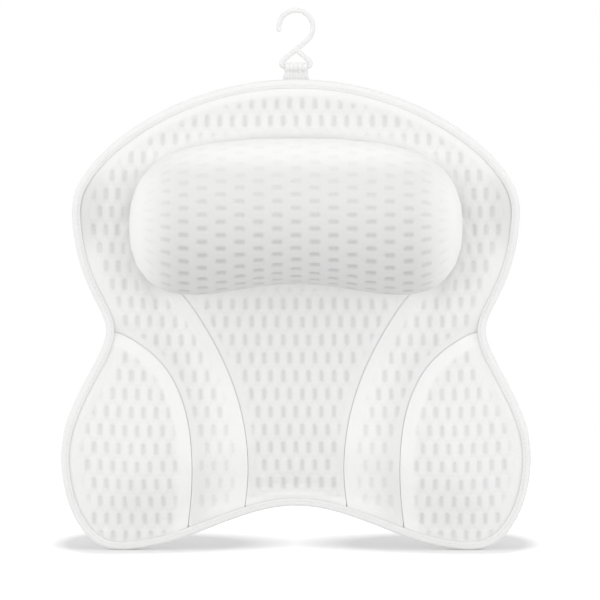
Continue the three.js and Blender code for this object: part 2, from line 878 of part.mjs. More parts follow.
// Panels on both sides of a seam have their rows at the same places along it
const seamShare = chain(wingSeamArchSide).total / chain(archOuterHalf).total;
const alongSeam = crowded(seamSteps).map((share) => share * seamShare);
const alongEdge = crowdedAtStart(edgeSteps).map((share) => THREE.MathUtils.lerp(seamShare, 1, share));
const archShares = [...alongSeam, ...alongEdge.slice(1)];
const archRight = archShares.map((share) => share / 2);
const archLeft = archRight.slice(0, -1).map((share) => 1 - share);
const seatShare = chain(seatRight).total / chain(stripSeamCentreSide).total;
const centreShares = archShares.filter((share) => share < seatShare).map((share) => share / seatShare);

// Panels and their padding
const wingRows = planRows(wingPlan, crowded(seamSteps));
const wingCup = cupsInRow("lower").filter((cup) => cup.x > 0);
for (const [side, sign] of [["left", -1], ["right", 1]]) {
  const cover = coverGeometry(wingRows, wingHeight).scale(sign, 1, 1);
  const filling = fillingGeometry(wingRows, wingHeight, wingCup).scale(sign, 1, 1);
  addPiece(`wing_cover_${side}`, cover, meshCloth());
  addPiece(`wing_filling_${side}`, filling, stuffing());
}
const archRows = planRows(archPlan, [...archRight, ...archLeft.reverse()]);
addPiece("arch_cover", coverGeometry(archRows, archHeight), meshCloth());
const archFilling = fillingGeometry(archRows, archHeight, cupsInRow("middle"));
addPiece("arch_filling", archFilling, stuffing());
const centreRows = planRows(centrePlan, [...centreShares, 1]);
addPiece("centre_cover", coverGeometry(centreRows, centreHeight), meshCloth());
const centreFilling = fillingGeometry(centreRows, centreHeight, cupsInRow("upper"));
addPiece("centre_filling", centreFilling, stuffing());
addPiece("head_cover", headCoverGeometry(), meshCloth());
addPiece("head_filling", headFillingGeometry(), stuffing());
addPiece("back_panel", backPanelGeometry(), meshCloth());
addPiece("edge_binding", bindingGeometry(), tape());

// Hook and suction cups
addPiece("hook_loop", hookLoopGeometry(), tape());
addPiece("hook", hookGeometry(), hardPlastic());
for (const cup of cups) {
  addPiece(`suction_cup_${cup.name}`, suctionCupGeometry(), clearVinyl()).position.set(cup.x, cup.y, 0);
  addPiece(`eyelet_${cup.name}`, eyeletGeometry(), hardPlastic()).position.set(cup.x, cup.y, 0);
  addPiece(`eyelet_washer_${cup.name}`, washerGeometry(), hardPlastic()).position.set(cup.x, cup.y, 0);
}

// Stood up against the wall, with the origin between the middle suction cups
pillow.rotation.x = Math.PI / 2;
pillow.position.z = -waistHeight;
const bathPillow = new THREE.Group();
bathPillow.add(pillow);

export default bathPillow;
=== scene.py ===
"""Bath pillow: padded panels of spacer mesh, a head cushion, tape, suction cups and a hanging hook.

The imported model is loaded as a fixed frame. One operator sets the floor, the light and the camera, and each
of the others dresses one piece, or a group of like pieces, in that frame.
"""

import json
import math
from functools import lru_cache

import bmesh
import bpy
import numpy as np
from bpy.props import FloatProperty, FloatVectorProperty, IntProperty, PointerProperty
from bpy.types import Operator, Panel, PropertyGroup
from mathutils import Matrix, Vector
from mathutils.bvhtree import BVHTree
from mathutils.geometry import barycentric_transform, delaunay_2d_cdt
from mathutils.kdtree import KDTree


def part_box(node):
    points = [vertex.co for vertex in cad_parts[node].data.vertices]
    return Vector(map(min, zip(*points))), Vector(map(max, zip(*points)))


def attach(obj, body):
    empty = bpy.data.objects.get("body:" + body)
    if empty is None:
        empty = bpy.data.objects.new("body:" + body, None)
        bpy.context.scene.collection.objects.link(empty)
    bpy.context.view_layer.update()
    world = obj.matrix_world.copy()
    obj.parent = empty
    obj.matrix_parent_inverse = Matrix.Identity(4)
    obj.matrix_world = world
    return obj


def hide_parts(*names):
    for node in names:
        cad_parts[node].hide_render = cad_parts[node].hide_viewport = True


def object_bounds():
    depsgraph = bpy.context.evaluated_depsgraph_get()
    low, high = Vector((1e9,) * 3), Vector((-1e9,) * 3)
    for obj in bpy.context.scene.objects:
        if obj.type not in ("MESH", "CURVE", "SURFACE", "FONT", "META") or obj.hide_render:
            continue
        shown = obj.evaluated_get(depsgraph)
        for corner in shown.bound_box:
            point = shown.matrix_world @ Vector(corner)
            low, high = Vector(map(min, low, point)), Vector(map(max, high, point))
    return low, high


bl_info = {
    "name": "Bath Pillow",
    "version": (1, 0, 0),
    "blender": (4, 5, 0),
    "location": "View3D > Sidebar > Bath Pillow",
    "description": "Dresses the packed bath pillow with mesh cloth, tape, webbing and clear fittings",
    "category": "Add Mesh",
}

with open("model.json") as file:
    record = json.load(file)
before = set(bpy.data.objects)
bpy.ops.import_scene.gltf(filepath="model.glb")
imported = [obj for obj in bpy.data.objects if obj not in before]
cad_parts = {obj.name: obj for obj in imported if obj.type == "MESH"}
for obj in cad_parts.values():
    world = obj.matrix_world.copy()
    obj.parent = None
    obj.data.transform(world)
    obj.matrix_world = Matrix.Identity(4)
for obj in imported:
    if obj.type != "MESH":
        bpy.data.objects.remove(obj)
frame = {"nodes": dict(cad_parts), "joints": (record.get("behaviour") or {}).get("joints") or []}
CAD_BOX = [list(corner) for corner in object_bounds()]
BODY = "pillow"
SIDES = ("left", "right")
CUPS = [name.removeprefix("suction_cup_") for name in frame["nodes"] if name.startswith("suction_cup_")]
WHITE = (1.0, 1.0, 1.0, 1.0)
# Points closer than this are one point
WELD = 1e-6


# Sizes and colours

def size(name, default, description):
    return FloatProperty(name=name, description=description, default=default, unit="LENGTH", precision=5)


def span(name, default, description):
    return FloatVectorProperty(
        name=name, description=description, default=default, size=2, unit="LENGTH", precision=5)


def share(name, default, description):
    return FloatProperty(name=name, description=description, default=default, subtype="FACTOR")


def amount(name, default, description, subtype="NONE"):
    return FloatProperty(name=name, description=description, default=default, subtype=subtype)


def count(name, default, description):
    return IntProperty(name=name, description=description, default=default)


def angle(name, degrees, description):
    radians = math.radians(degrees)
    return FloatProperty(name=name, description=description, default=radians, subtype="ANGLE")


def colour(name, default, description):
    return FloatVectorProperty(
        name=name, description=description, default=default, size=3, min=0, max=1, subtype="COLOR")


class MeshClothSettings(PropertyGroup):
    """Slots pressed into the spacer mesh, and the darker tones of the cloth, which are mostly painted shade.
    """
    slot_pitch: size("Slot pitch", 0.01125, "Distance between slots in a row of the panels")
    row_pitch: size("Row pitch", 0.01615, "Distance between rows of slots on the panels")
    row_height: size("Row height", -0.007, "Height of a row with a slot on the middle line")
    slot_width: size("Slot width", 0.0043, "Width of a slot on the panels")
    slot_length: size("Slot length", 0.0108, "Length of a slot on the panels")
    slot_depth: size("Slot depth", 0.0016, "How deep a slot is pressed into the padding")
    slot_shoulder: size("Slot shoulder", 0.0015, "Width of the round shoulder beside a slot")
    crease_width: size("Crease width", 0.0032, "Width of the creases that join the slots' ends")
    crease_depth: size("Crease depth", 0.0004, "Depth of the creases that join the slots' ends")
    back_depth: size("Back slot depth", 0.0008, "How deep a slot is pressed into the back panel")
    # Slot and crease tones darken the cloth's colour: a slot's is partly the darker inner pile seen through
    # it and partly painted shade in its hollow, a crease's is painted shade
    slot_tone: share("Slot tone", 0.29, "How much darker a slot of the panels is")
    crease_tone: share("Crease tone", 0.07, "How much darker a crease of the panels is")
    # Painted shade: these two darken the panels' cloth away from their rims and seams, which leaves lighter
    # bands there, and darken the centre panel inside its bound edge
    ground_tone: share("Ground tone", 0.12, "How dark the cloth of the panels is away from their rims")
    centre_ground: share("Centre ground tone", 0.17, "How dark the cloth of the centre panel is")
    # This darkening beside the head's ends is painted shade in the valleys there, not a tone of stretched
    # cloth
    valley_shade: share("Valley tone", 0.45, "How much darker the stretched cloth beside the head's ends is")
    # Painted shade on the strips beside the higher wings
    strip_ground: share("Strip ground tone", 0.20, "How dark the strips are beside the wings")
    strip_foot: share("Strip foot slots", 0.6, "How strong the strips' slots are at the foot")
    wing_foot: size("Wing foot slots", 0.010, "How much closer to the edge a wing's slots come at its foot")
    # Painted shade on the surround's slope above the head cushion, where the light from above falls
    top_shade: share("Top tone", 0.13, "How much darker the cloth is above the head cushion")
    head_pitch: size("Head slot pitch", 0.0117, "Distance between slots in a column of the head cushion")
    head_column: size("Head column pitch", 0.0164, "Distance between columns of the head cushion")
    head_phase: size("Head phase", -0.0027, "Place of the middle column's slot above the crown line")
    head_slot_width: size("Head slot width", 0.0038, "Width of a slot on the head cushion")
    head_slot_length: size("Head slot length", 0.0092, "Length of a slot on the head cushion")
    head_slot_depth: size("Head slot depth", 0.0016, "How deep a slot is pressed into the head cushion")
    head_crease: size("Head crease depth", 0.00015, "Depth of the creases on the head cushion")
    # Like the panels' slot tone: partly the darker inner pile and partly painted shade in the hollow
    head_tone: share("Head slot tone", 0.27, "How much darker a slot of the head cushion is")
    head_top_slots: share("Head top slots", 0.28, "How strong the slots at the head cushion's top are")
    # Painted shade on the head cushion: slight at its top, growing from the brow down to its foot, with none
    # at its ends and back
    head_ground: share("Head ground tone", 0.66, "How dark the cloth of the head cushion is at its foot")
    head_top: share("Head top share", 0.08, "Share of that tone at the top")
    head_brow: share("Head brow share", 0.52, "Share of that tone that comes in at the brow")
    head_base: share("Head base share", 0.40, "Share of that tone that comes in towards the foot")
    cloth: colour("Cloth", (0.93, 0.93, 0.925), "Colour of the mesh cloth")
    # The colour of a slot's bottom, and the colour towards which all the painted shade on the cloth runs
    pit_and_shade: colour("Slot bottom", (0.55, 0.55, 0.547), "Colour of the cloth at the bottom of a slot")


class FadeSettings(PropertyGroup):
    """Distances over which slots, painted shade and heights come in."""
    foot: span("Foot", (0.05, 0.20), "Above the foot, to the end of its longer slope")
    seat: span("Seat", (-0.02, 0.012), "From the head's underside, to a strip that is level with its seat")
    beside_head: span("Beside the head", (0.003, 0.016), "From the head cushion, to full slots")
    ends_foot: span("Ends' foot", (-0.03, 0.02), "Above the head's underside, to the valleys at its ends")
    ends_top: span("Ends' top", (0.0, 0.05), "Below the head's top, to the valleys beside its ends")
    ends_side: span("Ends' side", (-0.05, -0.01), "Past the head's ends, to the valleys beside them")
    wing_edge: span("Wing edge", (0.013, 0.020), "From the bound edge, to a wing's full slots")
    wing_seam: span("Wing seam", (0.009, 0.016), "From a wing's seam, to its full slots and tone")
    wing_foot: span("Wing foot", (0.020, 0.040), "Above the foot, to where slots keep off a wing's edge")
    surround_edge: span("Surround edge", (0.0105, 0.0165), "From the edge, to the surround's full slots")
    strip_outer: span("Strip outer seam", (0.004, 0.008), "From a wing's seam, to a strip's full slots")
    strip_inner: span("Strip inner seam", (0.008, 0.014), "From the centre's seam, to a strip's full slots")
    strip_foot: span("Strip foot", (0.04, 0.14), "Above the foot, to a strip's full slots")
    # These fades, down to the top edge, shape painted shade
    inner_shade: span("Inner tone", (0.010, 0.040), "From the centre's seam, to the surround's full tone")
    outer_shade: span("Outer tone", (0.006, 0.030), "From a wing's seam, to the end of the strips' tone")
    valley_shade: span("Valley tone", (0.012, 0.050), "From the centre's seam, to the end of that tone")
    top_shade: span("Top tone", (-0.04, 0.0), "Above the head's top, to the full tone there")
    top_edge: span("Top edge", (0.008, 0.014), "From the bound edge, to the full tone above the head")
    centre_edge: span("Centre edge", (0.009, 0.014), "From the edge, to the centre's full slots and tone")
    centre_seam: span("Centre seam", (0.004, 0.008), "From the centre's seam, to its full slots")
    # The head's fades also shape its painted shade
    head_ends: span("Head ends", (0.0, 0.048), "From the head cushion's ends, to its full slots and tone")
    head_front: span("Head front", (0.008, 0.016), "In front of its back, to the head's full slots")
    head_slots: span("Head slots", (0.0, 0.110), "Below the head cushion's top, to its full slots")
    head_brow: span("Head brow", (0.010, 0.034), "Below the head cushion's top, to the brow's tone")
    head_base: span("Head base", (0.045, 0.130), "Below the head cushion's top, to the foot's tone")
    back_edge: span("Back edge", (0.010, 0.014), "From the bound edge, to the back panel's full slots")
    back_hole: span("Back holes", (0.011, 0.014), "From an eyelet's middle, to the back's full slots")
    webbing: span("Webbing", (0.002, 0.014), "Below the hook's bar, to the webbing's full width")


class PaddingSettings(PropertyGroup):
    """How the padding rises from the seams and swells."""
    flat_edge: size("Flat edge", 0.0095, "Width of the flat cloth inside the bound edge")
    settle: count("Settling", 300, "Rounds in which the padding's form is evened out")
    settle_margin: size("Settling margin", 0.004, "Distance past a seam's round at which settling is full")
    wing_edge: size("Wing edge slope", 0.052, "Distance over which a wing rises from the bound edge")
    surround_edge: size("Surround edge slope", 0.026, "Distance over which the surround rises")
    foot_edge: size("Foot slope", 0.060, "Distance over which the panels rise from the edge at the foot")
    wing_rim: share("Wing rim", 0.66, "Height of a wing beside its seam, as a share of its crown")
    wing_lean: size("Wing lean", 0.055, "Distance over which a wing falls to its rim")
    strip_rim: share("Strip rim", 0.86, "Height of a strip beside the centre, as a share of its crown")
    strip_lean: size("Strip lean", 0.026, "Distance over which a strip falls to its rim")
    valley_rim: share("Valley rim", 0.72, "Height beside the head's ends, by the crown")
    valley_lean: size("Valley lean", 0.055, "Distance over which the surround falls to the head's ends")
    valley_crown: share("Valley crown", 1.10, "Height outside the head's ends, by the crown")
    strip_outer: size("Strip outer rise", 0.028, "Distance over which a strip rises from the wing's seam")
    centre_seam: size("Centre seam rise", 0.024, "Distance over which the centre rises from its seam")
    seam_round: size("Seam round", 0.006, "Distance over which a full rim rounds down to its seam")
    centre_foot: size("Centre crown at the foot", 0.0145, "Height of the centre's padding at its foot")
    wing_level: size("Wing seam level", 0.0203, "Height of the seam between a wing and its strip")
    strip_level: size("Strip seam level", 0.0168, "Height of the seam between a strip and the centre")
    seam_angle: angle("Seam angle", 80, "Sharpest turn of the cloth that is shaded as smooth")
    start: share("Starting share", 0.94, "Share of the padding's height before it swells")
    pressure: amount("Pressure", 4.0, "Cloth pressure of the padding")
    swell: size("Most swell", 0.006, "Furthest that a point may move as the padding swells")
    frames: count("Frames", 20, "Steps of the cloth simulation")
    cloth_step: size("Simulation step", 0.004, "Size of the triangles that swell")
    fine_step: size("Surface step", 0.00085, "Size of the triangles that show")
    under_steps: count("Underside steps", 10, "How many times coarser the hidden side of a panel is")
    back_step: size("Back surface step", 0.0016, "Size of the triangles on the back panel")
    inside_steps: count("Back inside steps", 8, "How many times coarser the back panel's hidden side is")
    head_voxel: size("Head voxel", 0.0044, "Voxel size of the head cushion")
    head_rounds: count("Head softening", 12, "Rounds in which the head cushion's voxels are softened")
    head_seat: size("Head seat", 0.005, "Depth of the head cushion's back that stays as it swells")
    head_widest: size("Head widest", 0.02, "Depth in front of its back at which the head cushion is widest")


class TapeSettings(PropertyGroup):
    """Binding tape, its stitches and the hook's webbing."""
    tape_width: size("Tape width", 0.0074, "Width of the tape on each side of the edge")
    tape_wall: size("Tape wall", 0.0015, "Thickness of the folded tape")
    stitch_length: size("Stitch length", 0.0030, "Length of one stitch")
    stitch_gap: size("Stitch gap", 0.0012, "Gap between two stitches")
    thread: size("Thread", 0.0007, "Diameter of the sewing thread")
    thread_lift: share("Thread lift", 0.15, "Share of the thread by which its middle stands off the tape")
    stitch_inset: size("Stitch inset", 0.0024, "Distance of the stitches from the tape's inner edge")
    webbing_wall: size("Webbing wall", 0.0012, "Thickness of the webbing")
    webbing_body: share("Webbing body", 0.75, "Share of the webbing's thickness under its ribs")
    webbing_tail: size("Webbing tail", 0.0225, "Width of the webbing where it lies flat")
    box_inset: size("Box stitch inset", 0.0022, "Distance of the webbing's stitches from its edges")
    box_height: size("Box stitch height", 0.0105, "Height of the box of stitches on the webbing")
    rib_pitch: size("Rib pitch", 0.0019, "Distance between the webbing's ribs")
    rib_height: size("Rib height", 0.00035, "Height of the webbing's ribs")
    gather_depth: size("Gather depth", 0.0004, "Height of the webbing's folds where it is gathered")
    gather_folds: count("Gather folds", 5, "Folds of the webbing where it is gathered")
    tape: colour("Tape", (0.90, 0.90, 0.895), "Colour of the tape and webbing")
    thread_colour: colour("Thread", (0.86, 0.86, 0.855), "Colour of the sewing thread")


class FittingSettings(PropertyGroup):
    """Suction cups, eyelets and the hook."""
    cup_height: size("Cup height", 0.012, "Height of the cup's dome above the wall")
    cup_wall: size("Cup wall", 0.0016, "Thickness of the dome")
    cup_lip: size("Cup lip", 0.0020, "Width of the thin lip")
    lip_round: span("Lip round", (0.0001, 0.0002), "Width and height of the round at the lip's foot")
    neck: size("Neck", 0.008, "Diameter of the cup's neck")
    neck_foot: size("Neck foot", 0.0005, "Width of the step where the neck meets the dome")
    knob: size("Knob", 0.013, "Diameter of the cup's knob")
    knob_tip: size("Knob tip", 0.0056, "Diameter of the knob's tip")
    knob_length: size("Knob length", 0.005, "Length of the knob")
    knob_edge: size("Knob edge", 0.00125, "Length of the knob's straight edge")
    knob_round: size("Knob round", 0.0008, "Size of the rounds on the knob")
    eyelet_wall: size("Eyelet wall", 0.0012, "Thickness of the eyelet")
    eyelet_round: size("Eyelet round", 0.0005, "Size of the rounds on the eyelet")
    clearance: size("Clearance", 0.0003, "Gap between the neck and the eyelet")
    hook_voxel: size("Hook voxel", 0.00045, "Fineness of the moulded hook")
    hook_rounds: count("Hook softening", 30, "Rounds in which the hook's voxels are softened")
    vinyl: colour("Vinyl", (0.965, 0.98, 0.98), "Tint of the clear suction cups")
    plastic: colour("Plastic", (0.88, 0.88, 0.875), "Colour of the milky plastic")


class StageSettings(PropertyGroup):
    """Floor, light and camera."""
    distance: size("Camera distance", 4.0, "Distance of the camera")
    elevation: angle("Camera elevation", 4.0, "Angle of the camera above level")
    view_width: size("View width", 0.5338, "Width that the picture takes in at the pillow")
    view_depth: size("View depth", 100.0, "Furthest distance that the camera sees")
    aim_across: size("Aim across", 0.0036, "Point right of the middle line that the camera looks at")
    aim_height: size("Aim height", 0.0271, "Height that the camera looks at")
    sky: amount("Sky", 0.59, "Strength of the even light from all round")
    lamp_size: size("Lamp size", 1.6, "Diameter of the soft lights")
    above: amount("Upper light", 12.8, "Power of the soft light above", "POWER")
    beside: amount("Side lights", 10.3, "Power of the soft light on each side", "POWER")
    before: amount("Front light", 10.9, "Power of the soft light in front", "POWER")
    floor: colour("Floor", (0.93, 0.93, 0.93), "Colour of the floor")
    floor_seen: colour("Floor in view", (0.60, 0.60, 0.60), "Colour that the camera sees under the glow")
    floor_side: size("Floor to the side", 1.5, "Distance to which the floor runs to each side")
    floor_front: size("Floor in front", 1.5, "Distance to which the floor runs in front of the wall")
    floor_behind: size("Floor behind", 1.0, "Distance to which the floor runs behind the wall")
    # The floor's glow is painted light seen by the camera only; the shadow spots below are where it is weak,
    # which gives the floor's shadows a painted shape
    near_glow: amount("Near glow", 0.28, "White that the camera sees on the floor at the pillow")
    far_glow: amount("Far glow", 0.85, "White that the camera sees on the floor far from the pillow")
    glow_start: share("Glow start", 0.7, "Share of a shadow's reach at which the glow starts to grow")
    glow_end: share("Glow end", 1.3, "Share of a shadow's reach at which the glow is full")
    shadow_place: size("Shadow place", 0.168, "Distance of a wing's shadow from the middle")
    shadow_outside: size("Shadow outside", 0.055, "Reach of a wing's shadow outwards")
    shadow_inside: size("Shadow inside", 0.168, "Reach of a wing's shadow to the middle")
    shadow_behind: size("Shadow behind", 0.025, "Distance of a wing's shadow behind the wall's plane")
    shadow_depth: size("Shadow depth", 0.095, "Reach of a wing's shadow to front and back")


class BathPillowSettings(PropertyGroup):
    """All settings of the bath pillow."""
    mesh: PointerProperty(name="Mesh cloth", description="Slots and tones", type=MeshClothSettings)
    fades: PointerProperty(name="Fades", description="Where slots and tones come in", type=FadeSettings)
    padding: PointerProperty(name="Padding", description="Form of the padding", type=PaddingSettings)
    tape: PointerProperty(name="Tape", description="Tape, thread and webbing", type=TapeSettings)
    fittings: PointerProperty(name="Fittings", description="Cups and hook", type=FittingSettings)
    stage: PointerProperty(name="Stage", description="Floor, light and camera", type=StageSettings)


def settings():
    return bpy.context.scene.bath_pillow


# Meshes and objects

def new_object(name, data):
    obj = bpy.data.objects.new(name, data)
    bpy.context.scene.collection.objects.link(obj)
    return obj


def object_from(name, points, faces=(), edges=()):
    mesh = bpy.data.meshes.new(name)
    mesh.from_pydata([tuple(p) for p in points], list(edges), [tuple(f) for f in faces])
    return new_object(name, mesh)


def coordinates(mesh):
    flat = np.empty(3 * len(mesh.vertices), np.float32)
    mesh.vertices.foreach_get("co", flat)
    return flat.reshape(-1, 3).astype(float)


def set_coordinates(mesh, points):
    mesh.vertices.foreach_set("co", np.asarray(points, np.float32).ravel())
    mesh.update()


def store(mesh, name, values):
    """Keeps a number, or a vector, for each vertex."""
    values = np.asarray(values, np.float32)
    kind, field = ("FLOAT", "value") if values.ndim == 1 else ("FLOAT_VECTOR", "vector")
    mesh.attributes.new(name, kind, "POINT").data.foreach_set(field, values.ravel())


def store_weave(obj, along, across):
    """Keeps the place of each point of a grid along and across the cloth."""
    weave = np.zeros((len(along), len(across), 3))
    weave[:, :, 0], weave[:, :, 1] = along[:, None], across[None, :]
    store(obj.data, "weave", weave.reshape(-1, 3))


def grid_faces(rows, columns, rows_close, columns_close):
    """Faces of a grid of points. Rows or columns that close join the last to the first."""
    return [(i * columns + j, i * columns + (j + 1) % columns,
             (i + 1) % rows * columns + (j + 1) % columns, (i + 1) % rows * columns + j)
            for i in range(rows if rows_close else rows - 1)
            for j in range(columns if columns_close else columns - 1)]


def smooth_shaded(obj):
    obj.data.polygons.foreach_set("use_smooth", [True] * len(obj.data.polygons))
    return obj


def painted(obj, material):
    """The object, smooth and in one material."""
    obj.data.materials.clear()
    obj.data.materials.append(material)
    return smooth_shaded(obj)


def frozen(obj):
    """The object with the result of its modifiers as a plain mesh."""
    graph = bpy.context.evaluated_depsgraph_get()
    graph.update()
    mesh = bpy.data.meshes.new_from_object(
        obj.evaluated_get(graph), preserve_all_data_layers=True, depsgraph=graph)
    obj.modifiers.clear()
    old, obj.data = obj.data, mesh
    bpy.data.meshes.remove(old)
    mesh.name = obj.name
    return obj


def welded(obj):
    """Merges doubles, drops loose points and turns the faces of a closed body outwards."""
    body = bmesh.new()
    body.from_mesh(obj.data)
    bmesh.ops.remove_doubles(body, verts=body.verts, dist=WELD)
    bmesh.ops.delete(body, geom=[v for v in body.verts if not v.link_faces], context="VERTS")
    bmesh.ops.recalc_face_normals(body, faces=body.faces)
    body.to_mesh(obj.data)
    body.free()
    return obj


def merged_copy(*nodes):
    """CAD nodes copied into one mesh, with their loose triangles joined."""
    body = bmesh.new()
    for node in nodes:
        body.from_mesh(frame["nodes"][node].data)
    bmesh.ops.remove_doubles(body, verts=body.verts, dist=WELD)
    return body


def largest_island(obj):
    """Keeps only the largest connected body of the object's mesh."""
    body = bmesh.new()
    body.from_mesh(obj.data)
    left, islands = set(body.verts), []
    while left:
        reached, edge = set(), {left.pop()}
        while edge:
            reached |= edge
            edge = {e.other_vert(v) for v in edge for e in v.link_edges} - reached
        left -= reached
        islands.append(reached)
    keep = max(islands, key=len)
    bmesh.ops.delete(body, geom=[v for v in body.verts if v not in keep], context="VERTS")
    body.to_mesh(obj.data)
    body.free()


def moulded(name, nodes, voxel, rounds, factor=0.5):
    """CAD nodes as one closed skin of voxels, softened in a number of rounds."""
    body = merged_copy(*nodes)
    mesh = bpy.data.meshes.new(name)
    body.to_mesh(mesh)
    body.free()
    obj = new_object(name, mesh)
    remesh = obj.modifiers.new("voxels", "REMESH")
    remesh.mode, remesh.voxel_size = "VOXEL", voxel
    largest_island(frozen(obj))
    soften = obj.modifiers.new("soften", "SMOOTH")
    soften.factor, soften.iterations = factor, rounds
    return frozen(obj)


def finish_piece(obj, nodes=(), body=BODY):
    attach(obj, body)
    if nodes:
        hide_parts(*nodes)
    return obj


# Outlines in the plan of the wall, as points of x and z

def outlines(node, upright=0.003, level=1e-4):
    """Outlines of a flat-edged panel, the longest first, and the depth of their front edge."""
    body = merged_copy(node)
    body.normal_update()
    walls = {face for face in body.faces if abs(face.normal.y) < upright}
    front = min(v.co.y for face in walls for v in face.verts)
    links = {}
    for edge in body.edges:
        if walls.intersection(edge.link_faces) and all(v.co.y < front + level for v in edge.verts):
            a, b = edge.verts
            links.setdefault(a, []).append(b)
            links.setdefault(b, []).append(a)
    loops = []
    while links:
        first = here = next(iter(links))
        loop, came = [], None
        while True:
            loop.append((here.co.x, here.co.z))
            onward = [v for v in links[here] if v is not came]
            came, here = here, onward[0]
            if here is first:
                break
        for vertex in [v for v in links if (v.co.x, v.co.z) in set(loop)]:
            del links[vertex]
        loops.append(np.array(loop))
    body.free()
    return sorted(map(turning_left, loops), key=perimeter, reverse=True), front


def perimeter(loop):
    return np.linalg.norm(np.roll(loop, -1, 0) - loop, axis=1).sum()


def turning_left(loop):
    x, z = loop.T
    area = (x * np.roll(z, -1) - z * np.roll(x, -1)).sum()
    return loop if area > 0 else loop[::-1]


def length_along(points):
    """Length of the path up to each of its points."""
    return np.concatenate([[0], np.cumsum(np.linalg.norm(np.diff(points, axis=0), axis=1))])


def curve_through(points, step, first=0, last=None):
    """Points about every step on a smooth curve through the given ones, from first up to last."""
    points = np.asarray(points, float)
    last = len(points) - 1 if last is None else last
    along = length_along(points)
    slopes = np.gradient(points, along, axis=0)
    pieces = max(1, round((along[last] - along[first]) / step))
    at = np.linspace(along[first], along[last], pieces + 1)[:-1]
    i = np.clip(np.searchsorted(along, at, side="right") - 1, 0, len(points) - 2)
    stretch = (along[i + 1] - along[i])[:, None]
    t = (at - along[i])[:, None] / stretch
    start, end = points[i], points[i + 1]
    return ((2 * t**3 - 3 * t**2 + 1) * start + (t**3 - 2 * t**2 + t) * stretch * slopes[i]
            + (3 * t**2 - 2 * t**3) * end + (t**3 - t**2) * stretch * slopes[i + 1])


def smooth_outline(loop, step, corner=math.radians(35), overlap=3):
    """An outline with points about every step, smooth between its corners."""
    before, after = loop - np.roll(loop, 1, 0), np.roll(loop, -1, 0) - loop
    turn = np.arctan2(before[:, 0] * after[:, 1] - before[:, 1] * after[:, 0], (before * after).sum(1))
    corners = np.flatnonzero(np.abs(turn) > corner)
    if not len(corners):
        around = np.vstack([loop[-overlap:], loop, loop[:overlap + 1]])
        return curve_through(around, step, overlap, overlap + len(loop))
    stretches = []
    for start, end in zip(corners, np.roll(corners, -1)):
        end = end if end > start else end + len(loop)
        stretches.append(curve_through(np.take(loop, range(start, end + 1), 0, mode="wrap"), step))
    return np.vstack(stretches)


def inward(loop):
    """Unit normals that point into a loop that turns left."""
    along = np.roll(loop, -1, 0) - np.roll(loop, 1, 0)
    along /= np.linalg.norm(along, axis=1)[:, None]
    return np.column_stack([-along[:, 1], along[:, 0]])


class Near:
    """Distances to a set of points in plan."""

    def __init__(self, points):
        self.tree = KDTree(len(points))
        for i, (x, z) in enumerate(points):
            self.tree.insert((x, z, 0), i)
        self.tree.balance()

    def __call__(self, points):
        return np.array([self.tree.find((x, z, 0))[2] for x, z in points])


def lattice(loops, step, clearance=0.6):
    """Points of a triangular lattice inside the first loop and outside the others, clear of them all."""
    rims = np.vstack(loops)
    starts, ends = rims, np.vstack([np.roll(loop, -1, 0) for loop in loops])
    found = []
    heights = np.arange(rims[:, 1].min(), rims[:, 1].max(), step * math.sqrt(3) / 2)
    for row, z in enumerate(heights):
        crossed = (starts[:, 1] > z) != (ends[:, 1] > z)
        a, b = starts[crossed], ends[crossed]
        places = np.sort(a[:, 0] + (z - a[:, 1]) / (b[:, 1] - a[:, 1]) * (b[:, 0] - a[:, 0]))
        for left, right in zip(places[::2], places[1::2]):
            shift = step / 2 * (row % 2)
            first = math.ceil((left - shift) / step)
            last = math.floor((right - shift) / step)
            found += [(k * step + shift, z) for k in range(first, last + 1)]
    found = np.array(found)
    return found[Near(rims)(found) > clearance * step]


def filled(loops, step, inside_only=1, closeness=1e-9):
    """Points and triangles inside the first loop and outside the others. The rim's points come first."""
    points = np.vstack([*loops, lattice(loops, step)])
    edges, rim = [], 0
    for loop in loops:
        edges += [(rim + i, rim + (i + 1) % len(loop)) for i in range(len(loop))]
        rim += len(loop)
    made = delaunay_2d_cdt([Vector(p) for p in points], edges, [], inside_only, closeness)
    if len(made[0]) != len(points):
        raise RuntimeError("an outline crosses itself")
    given = np.array([ids[0] for ids in made[3]])
    triangles = given[np.array(made[2])]
    centres = points[triangles].mean(1)
    for hole in loops[1:]:
        middle = hole.mean(0)
        radius = np.linalg.norm(hole - middle, axis=1).min()
        outside = np.linalg.norm(centres - middle, axis=1) > radius
        triangles, centres = triangles[outside], centres[outside]
    return points, triangles, rim


def between(low, high, part):
    return low + (high - low) * part


def smoothstep(values, low, high):
    t = np.clip((np.asarray(values, float) - low) / (high - low), 0, 1)
    return t * t * (3 - 2 * t)


def fade(distances, name):
    """0 before the two distances of a fade, and 1 past them."""
    return smoothstep(distances, *getattr(settings().fades, name))


def round_rise(distance, reach):
    """Rises at once from the seam, as a full round edge."""
    return np.sin(np.pi / 2 * np.clip(distance / reach, 0, 1))


def slow_rise(distance, reach):
    """Rises slowly from the seam, as cloth that lies flat there."""
    return smoothstep(distance, 0, reach)


def rising(level, height, distance, reach, rise=round_rise):
    """A height that rises from the level of a seam."""
    return between(level, height, rise(distance, reach))


def in_space(points, depth):
    """Points of the plan at a depth, or at a depth each."""
    return np.column_stack([points[:, 0], np.broadcast_to(depth, len(points)), points[:, 1]])


# Node trees

